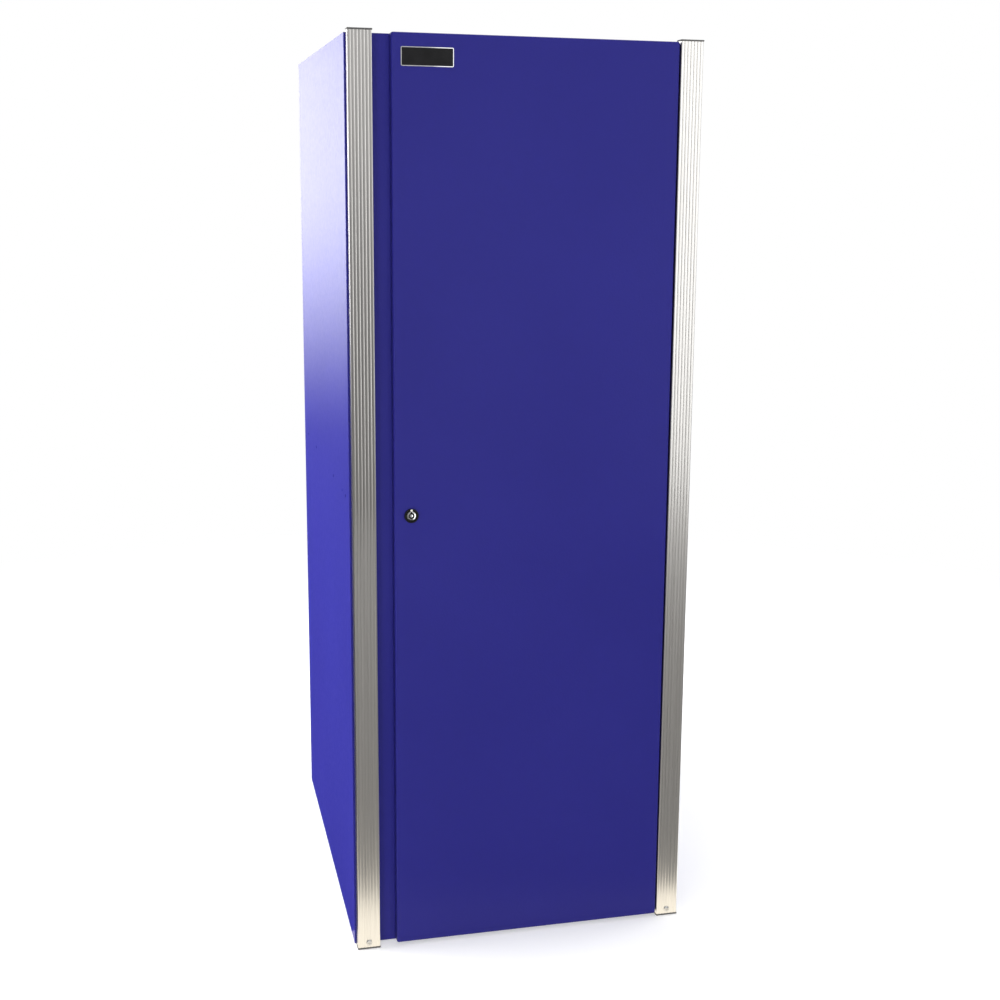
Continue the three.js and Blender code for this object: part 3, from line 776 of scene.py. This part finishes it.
def doorBlock(name, low, high, inset):
    block = addBlock(name, low, high)
    roundAlong(block, "Y", door["corner"] - inset, door["cornerSteps"])
    pick(block, "EDGE", lambda place, along: place.y < low.y + sameSpot and abs(along.y) < mergeSpan)
    roundOff(door["bend"] - inset, door["bendSteps"])
    pick(block, "EDGE", lambda place, along: place.y > high.y - sameSpot and abs(along.y) < mergeSpan)
    roundOff(door["rearBend"] - inset, door["rearSteps"])
    return block


def mitreGap(corner, slant):
    half = Vector((door["mitreReach"], door["mitreDepth"], door["mitre"] / 2))
    gap = addBlock("gap", corner - half, corner + half)
    pickAll(gap)
    bpy.ops.transform.rotate(
        value=math.radians(45) * slant, orient_axis="Y", orient_type="GLOBAL", center_override=corner
    )
    return gap


def makeDoorPanel():
    low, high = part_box("door_panel")
    past = cutter["past"]
    panel = doorBlock("doorPanel", low, high, 0)
    skin = Vector((door["sheet"],) * 3)
    cutAway(panel, doorBlock("cavity", low + skin, high - skin, door["sheet"]))
    hem = Vector((door["hem"], 0, door["hem"]))
    behind = Vector((0, high.y - low.y - door["openFrom"], 0))
    cutAway(panel, addBlock("opening", low + hem + behind, high - hem + Vector((0, past, 0))))
    for x in (low.x, high.x):
        for z in (low.z, high.z):
            slant = 1 if (x == low.x) == (z == low.z) else -1
            cutAway(panel, mitreGap(Vector((x, high.y, z)), slant))
    hinge, lock = jointAt["door_hinge"], jointAt["lock_turn"]
    drill(panel, (lock.x, low.y, lock.z), "Y", door["lockHole"], sides=48)
    for end in ("bottom", "top"):
        bottom, top = armHeights(end, doorPivot["armGap"])
        start = (hinge.x - doorPivot["slotLength"], low.y + door["sheet"], bottom)
        cutAway(panel, addBlock("slot", start, (high.x + past, high.y + past, top)))
    complete(panel, "door_panel", door["edge"])


stiffener = {"width": 0.060, "edge": 0.00025}


def makeStiffener():
    low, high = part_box("door_stiffener")
    middle = (low.x + high.x) / 2
    left, right = middle - stiffener["width"] / 2, middle + stiffener["width"] / 2
    crown = high.y - door["sheet"]
    corners = ((low.x, low.y), (left, low.y), (left, crown), (right, crown), (right, low.y), (high.x, low.y))
    path = [Vector((x, y, low.z)) for x, y in corners]
    hat = foldSheet("doorStiffener", path, Vector((0, 0, high.z - low.z)), Vector((0, 1, 0)), door)
    brim = low.y + door["sheet"]
    for x in ((low.x + left) / 2, (right + high.x) / 2):
        markWelds(hat, Vector((x, brim, low.z)), Vector((x, brim, high.z)))
    complete(hat, "door_stiffener", stiffener["edge"])


# Ribbed corner trims
cornerTrim = {
    "ribs": 7,
    "ribSteps": 16,
    "crest": 0.7,  # below 1 for flat crests and narrow grooves
    "groove": 0.00045,
    "wall": 0.0018,
    "corner": 0.0015,
    "cornerSteps": 4,
}


def trimOutline(low, high):
    wide, deep = high.x - low.x, high.y - low.y
    corner, wall = cornerTrim["corner"], cornerTrim["wall"]
    pitch = wide / cornerTrim["ribs"]
    points = [(0, deep)]
    for angle in quarterTurn(cornerTrim["cornerSteps"]):
        points.append((corner - corner * math.cos(angle), corner - corner * math.sin(angle)))
    for step in range((cornerTrim["ribs"] - 1) * cornerTrim["ribSteps"] + 1):
        along = pitch / 2 + step / cornerTrim["ribSteps"] * pitch
        rise = abs(math.sin(math.pi * along / pitch)) ** cornerTrim["crest"]
        points.append((along, cornerTrim["groove"] * (1 - rise)))
    for angle in quarterTurn(cornerTrim["cornerSteps"]):
        points.append((wide - corner + corner * math.sin(angle), corner - corner * math.cos(angle)))
    face = wall + cornerTrim["groove"]
    points += [(wide, deep), (wide - wall, deep), (wide - wall, face), (wall, face), (wall, deep)]
    return [Vector((low.x + x, low.y + y, low.z)) for x, y in points]


def makeCornerTrim(label):
    node = f"corner_trim_{label}"
    low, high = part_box(node)
    trim = runOut(camelName(node), trimOutline(low, high), Vector((0, 0, high.z - low.z)))
    drillScrewHole(trim, label, low.y)
    complete(trim, node)


trimCap = {"plate": 0.002, "edge": 0.0005, "wall": 0.002, "face": 0.0029, "overhang": 0.0005}


def makeTrimCap(label, end):
    node = f"trim_cap_{label}_{end}"
    low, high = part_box(node)
    plate = [low.copy(), high.copy()]
    plug = [low.copy(), high.copy()]
    if end == "bottom":
        plate[1].z = low.z + trimCap["plate"]
    else:
        plate[0].z = high.z - trimCap["plate"]
    side = trimCap["overhang"] + trimCap["wall"]
    plug[0].x, plug[1].x = low.x + side, high.x - side
    plug[0].y = low.y + trimCap["overhang"] + trimCap["face"]
    cap = addBlock(camelName(node), *plate)
    finishEdges(cap, trimCap["edge"], steps=3)
    combine(cap, "UNION", addBlock("plug", *plug))
    settle(cap, node)


trimScrew = {
    "head": 0.004,
    "shank": 0.002,
    "brim": 0.0005,
    "domeSteps": 8,
    "cross": 0.0009,
    "crossReach": 0.0022,
    "crossDepth": 0.0011,
}


def cutCross(screw, centre, sizes, start, end):
    half, reach = sizes["cross"] / 2, sizes["crossReach"]
    for wide, tall in ((reach, half), (half, reach)):
        low, high = Vector((-wide, start, -tall)), Vector((wide, end, tall))
        cutAway(screw, addBlock("cross", centre + low, centre + high))


def makeTrimScrew(label):
    node = f"trim_screw_{label}"
    low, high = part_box(node)
    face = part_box(f"corner_trim_{label}")[0].y
    centre = Vector(((low.x + high.x) / 2, face, (low.z + high.z) / 2))
    rise, brim, tip = low.y - face, -trimScrew["brim"], high.y - face
    profile = []
    for angle in quarterTurn(trimScrew["domeSteps"]):
        profile.append((trimScrew["head"] * math.sin(angle), brim + (rise - brim) * math.cos(angle)))
    profile += [
        (trimScrew["head"], -carcass["fit"]),
        (trimScrew["shank"], -carcass["fit"]),
        (trimScrew["shank"], tip),
        (0, tip),
    ]
    screw = turn(camelName(node), profile, centre, steps=40)
    cutCross(screw, centre, trimScrew, rise - cutter["past"], rise + trimScrew["crossDepth"])
    complete(screw, node)


# Cam lock
camLock = {
    "flange": 0.0097,
    "proud": 0.003,
    "round": 0.0010,
    "roundSteps": 4,
    "barrel": 0.008,
    "bore": 0.00635,
    "boreDepth": 0.00615,
    "shaftBore": 0.00465,
    "threadPitch": 0.0013,
    "threadDepth": 0.0004,
    "threadStart": 0.0015,
    "threadEnd": 0.0005,  # left plain at the barrel's end
}


def onLockAxis(depth):
    axis = jointAt["lock_turn"]
    return Vector((axis.x, depth, axis.z))


def makeLockBody():
    centre = onLockAxis(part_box("door_panel")[0].y)
    front, end = -camLock["proud"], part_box("lock_body")[1].y - centre.y
    flange, barrel, bore, radius = (camLock[key] for key in ("flange", "barrel", "bore", "round"))
    profile = [(bore, front)]
    for angle in quarterTurn(camLock["roundSteps"]):
        profile.append((flange - radius * (1 - math.sin(angle)), front + radius * (1 - math.cos(angle))))
    profile += [(flange, -carcass["fit"]), (barrel, -carcass["fit"])]
    place, pitch = camLock["threadStart"], camLock["threadPitch"]
    while place + pitch < end - camLock["threadEnd"]:
        profile += [(barrel, place), (barrel - camLock["threadDepth"], place + pitch / 2)]
        place += pitch
    profile += [
        (barrel, place),
        (barrel, end),
        (camLock["shaftBore"], end),
        (camLock["shaftBore"], camLock["boreDepth"]),
        (bore, camLock["boreDepth"]),
        (bore, front),
    ]
    body = turn("lockBody", profile, centre, steps=64)
    complete(body, "lock_body", sharp=38)


lockPlug = {
    "radius": 0.0062,
    "length": 0.009,
    "shaft": 0.0045,
    "stub": 0.003,
    "keyOuter": 0.0042,
    "keyInner": 0.0021,
    "keyDepth": 0.005,
    "notch": 0.0016,
    "bevel": 22.0,  # degrees, from the keyway's lip down to the rim
    "lip": 0.00025,
    "lipSteps": 3,
    "pinBack": 0.0007,
    "pinDome": 0.0005,
    "pinSteps": 5,
    "roughness": (0.24, 0.32),
    # oil and painted shade: the colour the keyway goes to, deep down in it
    "greaseAndShade": (0.010, 0.009, 0.008),  # dark down in the keyway
    "greaseAndShadeStart": 0.0010,
    "greaseAndShadeEnd": 0.0018,
}


# The plug's chrome, blackened with depth behind its face: oil down in the keyway and painted shade
def makePlugChrome(face):
    look = platedMetals["bright_chrome"]
    finish, tree, shader = newFinish("plugChrome", Metallic=1.0)
    flakes = grainIn(tree, scale=look["flakeScale"], Detail=5.0)
    chrome = blendColours(tree, flakes, look["dark"], look["light"])
    depth = addNode(tree, "ShaderNodeSeparateXYZ", {0: objectPlace(tree)}).outputs["Y"]
    # painted shade and oil: the chrome turns dark between these depths behind the face
    dark = spread(tree, depth, face + lockPlug["greaseAndShadeStart"], face + lockPlug["greaseAndShadeEnd"])
    plugIn(
        tree,
        shader,
        colour=blendColours(tree, dark, chrome, lockPlug["greaseAndShade"]),
        roughness=grainIn(tree, scale=look["flakeScale"] * roughPatch, span=lockPlug["roughness"]),
        normal=bumpFrom(tree, flakes, strength=0.15, distance=0.00004),
    )
    return finish


def makeLockPlug():
    low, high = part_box("lock_plug")
    centre = onLockAxis(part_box("door_panel")[0].y)
    face, end = low.y - centre.y, high.y - centre.y
    step = lockPlug["length"] - camLock["proud"]
    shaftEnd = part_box("lock_body")[1].y - centre.y
    keyEnd = face + lockPlug["keyDepth"]
    inner, outer, lip = lockPlug["keyOuter"], lockPlug["radius"], lockPlug["lip"]
    drop = (outer - inner - 2 * lip) * math.tan(math.radians(lockPlug["bevel"]))
    pin, dome = lockPlug["keyInner"], lockPlug["pinDome"]
    profile = []
    for angle in quarterTurn(lockPlug["pinSteps"]):
        profile.append((pin * math.sin(angle), face + lockPlug["pinBack"] + dome * (1 - math.cos(angle))))
    profile += [(pin, keyEnd), (inner, keyEnd)]
    for angle in quarterTurn(lockPlug["lipSteps"]):
        profile.append((inner + lip * (1 - math.cos(angle)), face + lip * (1 - math.sin(angle))))
    for angle in quarterTurn(lockPlug["lipSteps"]):
        profile.append((outer - lip * (1 - math.sin(angle)), face + drop + lip * (1 - math.cos(angle))))
    profile += [
        (outer, step),
        (lockPlug["shaft"], step),
        (lockPlug["shaft"], shaftEnd),
        (lockPlug["stub"], shaftEnd),
        (lockPlug["stub"], end),
        (0, end),
    ]
    plug = turn("lockPlug", profile, centre, steps=64)
    half, past = lockPlug["notch"] / 2, cutter["past"]
    start = centre + Vector((-half, face - past, inner - half))
    cutAway(plug, addBlock("notch", start, centre + Vector((half, keyEnd, outer + past))))
    complete(plug, "lock_plug", sharp=38, finish=makePlugChrome(low.y))


# White dot on the lock's flange, a painted highlight standing in for the glint at the top of the lock
glintDot = {
    "radius": 0.0015,
    "above": 0.0076,
    "rise": 0.00012,
    "shoulder": (0.6, 0.8),  # shares of radius and rise
}


def makeGlintDot():
    centre = onLockAxis(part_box("lock_body")[0].y)
    centre.z += glintDot["above"]
    radius, rise = glintDot["radius"], -glintDot["rise"]
    across, up = glintDot["shoulder"]
    profile = [(0, rise), (radius * across, rise * up), (radius, 0), (0, 0)]
    # painted highlight: a small white dome where the lock shows a glint
    dot = turn("lockIndexDot", profile, centre, steps=24)
    finishEdges(dot, 0)
    putDown()
    dot.data.materials.append(finishes["bushing_nylon"])
    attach(dot, "door")


lockNut = {
    "bore": 0.0082,
    "chamferRadius": 0.01225,
    "chamfer": 0.0014,
    "chamferClear": 0.0001,
    "edge": 0.0002,
}


def makeLockNut():
    low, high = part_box("lock_nut")
    centre = (low + high) / 2
    thick = high.y - low.y
    nut = addRod("lockNut", centre, "Y", (high.x - low.x) / 2, thick, sides=6)
    cornersAside = Matrix.Rotation(math.radians(90), 4, "Y")
    nut.data.transform(Matrix.Translation(centre) @ cornersAside @ Matrix.Translation(-centre))
    tall = thick + lockNut["chamferClear"]
    disc = addRod("disc", centre, "Y", lockNut["chamferRadius"], tall, sides=64)
    pick(disc, "EDGE", lambda place, along: abs(along.y) < mergeSpan)
    roundOff(lockNut["chamfer"], 1)
    combine(nut, "INTERSECT", disc)
    cutAway(nut, addRod("bore", centre, "Y", lockNut["bore"], thick * 2, sides=64))
    complete(nut, "lock_nut", lockNut["edge"])


camScrew = {
    "head": 0.0046,
    "shank": 0.0015,
    "brim": 0.0010,
    "domeSteps": 8,
    "cross": 0.0011,
    "crossReach": 0.0026,
    "crossDepth": 0.0015,
}


def makeCamScrew():
    low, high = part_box("lock_cam_screw")
    centre = onLockAxis(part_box("lock_cam")[1].y)
    tip, base, top = low.y - centre.y, carcass["fit"], high.y - centre.y
    head, shank, brim = camScrew["head"], camScrew["shank"], camScrew["brim"]
    profile = [(0, tip), (shank, tip), (shank, base), (head, base)]
    for angle in quarterTurn(camScrew["domeSteps"]):
        profile.append((head * math.cos(angle), brim + (top - brim) * math.sin(angle)))
    screw = turn("lockCamScrew", profile, centre, steps=40)
    cutCross(screw, centre, camScrew, top - camScrew["crossDepth"], top + cutter["past"])
    complete(screw, "lock_cam_screw")


# Badge: a plain dark plate in a bright border
badge = {"corner": 0.002, "cornerSteps": 6, "border": 0.0012, "bezelEdge": 0.0004, "plateEdge": 0.0003}


def makeBadge():
    low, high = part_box("badge_bezel")
    corner, border, far = badge["corner"], badge["border"], cutter["farPast"]
    bezel = addBlock("badgeBezel", low, high)
    roundAlong(bezel, "Y", corner, badge["cornerSteps"])
    window = addBlock("window", low + Vector((border, -far, border)), high + Vector((-border, far, -border)))
    roundAlong(window, "Y", corner - border, badge["cornerSteps"])
    cutAway(bezel, window)
    complete(bezel, "badge_bezel", badge["bezelEdge"], steps=3)
    plate = addBlock("badgePlate", *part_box("badge_plate"))
    roundAlong(plate, "Y", corner - border, badge["cornerSteps"])
    complete(plate, "badge_plate", badge["plateEdge"])


# Shelves and what carries them
shelving = {
    "corner": 0.0015,
    "bend": 0.0014,
    "steps": 4,
    "slotPitch": 0.050,
    "slotWidth": 0.004,
    "slotHeight": 0.014,
    "slotDepth": 0.006,  # of the cutter, half of it in front of the face
    "slotRound": 0.0008,
    "slotSteps": 3,
    "edge": 0.0002,
}


def makeShelf(label):
    node = f"shelf_{label}"
    low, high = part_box(node)
    shelf = addBlock(camelName(node), low, high)
    roundAlong(shelf, "Z", shelving["corner"], shelving["steps"])
    pick(shelf, "EDGE", lambda place, along: place.z > high.z - sameSpot)
    roundOff(shelving["bend"], shelving["steps"])
    pick(shelf, "FACE", lambda place, normal: normal.z < -aligned)
    bpy.ops.mesh.delete(type="FACE")
    thicken(shelf, carcass["sheet"])
    complete(shelf, node, carcass["edge"])


def makeStandard(label, row):
    node = f"shelf_standard_{label}_{row}"
    low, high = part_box(node)
    wall, face = (low.x, high.x) if label == "left" else (high.x, low.x)
    corners = ((wall, low.y), (face, low.y), (face, high.y), (wall, high.y))
    path = [Vector((x, y, low.z)) for x, y in corners]
    standard = foldSheet(camelName(node), path, Vector((0, 0, high.z - low.z)), Vector((0, 1, 0)), carcass)
    pitch = shelving["slotPitch"]
    half = Vector((shelving["slotDepth"], shelving["slotWidth"], shelving["slotHeight"])) / 2
    first = Vector((face, (low.y + high.y) / 2, low.z + pitch))
    slots = addBlock("slots", first - half, first + half)
    roundAlong(slots, "X", shelving["slotRound"], shelving["slotSteps"])
    repeat(slots, int((high.z - low.z - pitch / 2) / pitch), (0, 0, pitch))
    cutAway(standard, slots)
    complete(standard, node, shelving["edge"])


# Small pressed and turned pieces keep their shape, with their edges eased
easedEdge = {"pressed": 0.0003, "bushing": 0.0002}


def easedCopy(node):
    putDown()
    name = camelName(node)
    piece = bpy.data.objects.new(name, frame["nodes"][node].data.copy())
    piece.data.name = name
    bpy.context.scene.collection.objects.link(piece)
    pickAll(piece)
    bpy.ops.mesh.remove_doubles(threshold=mergeSpan)
    bpy.ops.mesh.dissolve_limited(angle_limit=math.radians(1))
    complete(piece, node, easedEdge["bushing" if "bushing" in node else "pressed"])


bumper = {"round": 0.0006, "roundSteps": 5}


def makeBumper(label):
    node = f"door_bumper_{label}"
    low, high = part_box(node)
    centre = Vector(((low.x + high.x) / 2, high.y, (low.z + high.z) / 2))
    radius, soft, front = (high.x - low.x) / 2, bumper["round"], low.y - high.y
    profile = [(0, front)]
    for angle in quarterTurn(bumper["roundSteps"]):
        profile.append((radius - soft + soft * math.sin(angle), front + soft - soft * math.cos(angle)))
    profile += [(radius, 0), (0, 0)]
    piece = turn(camelName(node), profile, centre, steps=40)
    complete(piece, node)


for label in ("left", "right"):
    makeSidePanel(label)
    makeStile(label)
    makeCornerTrim(label)
    makeTrimScrew(label)
    for end in ("bottom", "top"):
        makeTrimCap(label, end)
    for row in ("front", "rear"):
        makeStandard(label, row)
makeTopPanel("top_panel", edgeUp=False)
makeTopPanel("bottom_panel", edgeUp=True)
makeBackPanel()
print("carcass, trims and shelf standards made")
for end in ("bottom", "top"):
    makeRail(end)
    makeBumper(end)
for level in ("lower", "upper"):
    makeShelf(level)
makeDoorPanel()
makeStiffener()
makeBadge()
print("door and shelves made")
makeLockBody()
makeLockPlug()
makeGlintDot()
makeLockNut()
makeCamScrew()
easedCopy("lock_cam")
for kind in ("bracket", "pin", "plate", "bushing"):
    for end in ("bottom", "top"):
        easedCopy(f"pivot_{kind}_{end}")
for level in ("lower", "upper"):
    for label in ("left", "right"):
        for row in ("front", "rear"):
            easedCopy(f"shelf_clip_{level}_{label}_{row}")
print("lock and small pieces made")


# Floor, backdrop and light
stageLight = {
    "floorSize": 30.0,
    "floorDrop": 0.0005,  # below the locker's feet
    "floorColour": (0.82, 0.82, 0.82),
    "floorLift": 0.41,  # added where the floor is seen, so that it reads white
    "fade": (0.9, 2.2),  # metres from the locker over which the floor turns plain white
    "ambient": 0.15,
}


def seenRay(tree):
    path = addNode(tree, "ShaderNodeLightPath").outputs
    either = calculate(tree, "MAXIMUM", path["Is Camera Ray"], path["Is Glossy Ray"])
    return calculate(tree, "MAXIMUM", either, path["Is Transmission Ray"])


def makeWorld():
    world = bpy.data.worlds.new("studio")
    bpy.context.scene.world = world
    world.use_nodes = True
    tree = world.node_tree
    background = tree.nodes["Background"].inputs
    background["Color"].default_value = (1, 1, 1, 1)
    tree.links.new(spread(tree, seenRay(tree), 0.0, 1.0, stageLight["ambient"]), background["Strength"])


def bareFinish(name):
    finish = bpy.data.materials.new(name)
    finish.use_nodes = True
    tree = finish.node_tree
    tree.nodes.remove(tree.nodes["Principled BSDF"])
    return finish, tree, tree.nodes["Material Output"].inputs["Surface"]


def makeFloor():
    putDown()
    bpy.ops.mesh.primitive_plane_add(size=stageLight["floorSize"], location=(0, 0, -stageLight["floorDrop"]))
    floor = named("floor")
    finish, tree, surface = bareFinish("floorPaper")
    seen = seenRay(tree)
    paper = addNode(tree, "ShaderNodeBsdfDiffuse", {"Color": (*stageLight["floorColour"], 1)})
    lifted = calculate(tree, "MULTIPLY", seen, stageLight["floorLift"])
    lift = addNode(tree, "ShaderNodeEmission", {"Strength": lifted})
    near = addNode(tree, "ShaderNodeAddShader", {0: paper.outputs[0], 1: lift.outputs[0]})
    far = addNode(tree, "ShaderNodeEmission")
    distance = addNode(tree, "ShaderNodeVectorMath", {0: objectPlace(tree)}, operation="LENGTH")
    fade = spread(tree, distance.outputs["Value"], *stageLight["fade"], style="SMOOTHSTEP")
    share = calculate(tree, "MULTIPLY", fade, seen)
    mix = addNode(tree, "ShaderNodeMixShader", {0: share, 1: near.outputs[0], 2: far.outputs[0]})
    tree.links.new(mix.outputs[0], surface)
    floor.data.materials.append(finish)


softBoxes = {
    "frontFill": {"place": (-0.25, -3.6, 0.8), "aim": (0.0, -0.3, 0.5), "size": (1.2, 1.8), "power": 41.5},
    "leftFront": {"place": (-1.75, -3.0, 0.9), "aim": (-0.1, -0.3, 0.6), "size": (1.0, 1.8), "power": 31.0},
    "rightFront": {"place": (1.6, -3.3, 1.4), "aim": (0.1, -0.3, 1.0), "size": (2.1, 2.4), "power": 8.0},
    "leftKey": {"place": (-2.4, 0.4, 0.5), "aim": (-0.24, 0.05, 0.45), "size": (1.4, 1.2), "power": 130.0},
    "rightFill": {"place": (3.0, 0.5, 1.4), "aim": (0.24, 0.0, 0.62), "size": (1.6, 2.0), "power": 45.0},
    "backFill": {"place": (0.3, 3.4, 1.8), "aim": (0.0, 0.31, 0.7), "size": (2.2, 2.0), "power": 45.0},
    "overhead": {"place": (0.0, 0.0, 3.4), "aim": (0.0, 0.0, 0.0), "size": (2.0, 2.0), "power": 50.0},
    # a small light that gives the key plug its glint
    "lockGlint": {
        "place": (0.324, -0.67, 0.366),
        "aim": (-0.157, -0.313, 0.62),
        "size": (0.5, 0.6),
        "power": 4.0,
        "only": "lockPlug",
    },
}


def makeLights():
    for name, box in softBoxes.items():
        data = bpy.data.lights.new(name, "AREA")
        data.shape = "RECTANGLE"
        data.size, data.size_y = box["size"]
        data.energy = box["power"]
        light = bpy.data.objects.new(name, data)
        bpy.context.scene.collection.objects.link(light)
        light.location = box["place"]
        aim = Vector(box["aim"]) - Vector(box["place"])
        light.rotation_mode = "QUATERNION"
        light.rotation_quaternion = aim.to_track_quat("-Z", "Y")
        light.visible_camera = False
        light.visible_glossy = "only" in box
        if "only" in box:
            lit = bpy.data.collections.new(name)
            lit.objects.link(bpy.data.objects[box["only"]])
            light.light_linking.receiver_collection = lit


# Cards that only reflections see, as a photographer sets them round bright metal.
# Their level goes from the first value to the second between the two heights of their rise.
cards = {
    "nearFloor": {
        "centre": (0, -0.323, 0.0006),
        "size": (1.2, 0.2),
        "facing": "Z",
        "turn": 8.0,  # degrees, about the upright
        "level": (1.3, 1.3),
        "tint": (1, 0.93, 0.8),
    },
    "frontFloor": {
        "centre": (0, -3.66, 0.0003),
        "size": (9.0, 6.68),
        "facing": "Z",
        "level": (0.22, 0.22),
        "tint": (1, 0.97, 0.94),
    },
    "backFloor": {
        "centre": (0, 2.85, 0.0003),
        "size": (10.0, 6.3),
        "facing": "Z",
        "level": (0.05, 0.05),
    },
    "frontWall": {
        "centre": (-0.325, -3.15, 2.0),
        "size": (1.95, 4.0),
        "facing": "Y",
        "level": (1.3, 1.5),
        "rise": (0.2, 1.5),
    },
    "cornerWall": {
        "centre": (1.425, -3.15, 2.0),
        "size": (1.55, 4.0),
        "facing": "Y",
        "level": (0.5, 0.75),
        "rise": (0.2, 1.5),
    },
    "leftShade": {
        "centre": (-0.51, -1.1, 1.23),
        "size": (1.06, 1.54),
        "facing": "Y",
        "level": (0.15, 0.55),
        "rise": (0.7, 1.5),
    },
    "rightGlow": {
        "centre": (0.8, -0.92, 1.34),
        "size": (0.9, 1.76),
        "facing": "Y",
        "level": (1.45, 1.6),
        "rise": (0.5, 1.4),
    },
    "leftWall": {
        "centre": (-3.0, -1.6, 2.5),
        "size": (5.0, 3.2),
        "facing": "X",
        "level": (0.12, 0.3),
        "rise": (0.2, 2.4),
    },
    "rightWall": {
        "centre": (3.0, -1.4, 2.5),
        "size": (5.0, 3.4),
        "facing": "X",
        "level": (0.3, 0.7),
        "rise": (0.2, 2.0),
    },
    "backWall": {
        "centre": (-0.8, 3.6, 0.85),
        "size": (5.0, 1.7),
        "facing": "Y",
        "level": (0.0, 3.9),
        "rise": (0.05, 1.04),
    },
}


def makeCards():
    for name, card in cards.items():
        putDown()
        lean, roll, spin = axisTurn[card["facing"]]
        spin += math.radians(card.get("turn", 0))
        bpy.ops.mesh.primitive_plane_add(size=1, location=card["centre"], rotation=(lean, roll, spin))
        bpy.context.object.scale = (*card["size"], 1)
        piece = named(f"card.{name}")
        finish, tree, surface = bareFinish(f"card.{name}")
        height = addNode(tree, "ShaderNodeSeparateXYZ", {0: objectPlace(tree)}).outputs["Z"]
        level = spread(tree, height, *card.get("rise", (0.0, 1.0)), *card["level"], style="SMOOTHSTEP")
        tint = (*card.get("tint", (1, 1, 1)), 1)
        glow = addNode(tree, "ShaderNodeEmission", {"Color": tint, "Strength": level})
        tree.links.new(glow.outputs[0], surface)
        piece.data.materials.append(finish)
        piece.visible_camera = False
        piece.visible_diffuse = False
        piece.visible_transmission = False
        piece.visible_shadow = False


makeWorld()
makeFloor()
makeLights()
makeCards()
putDown()
print("floor and lights made")
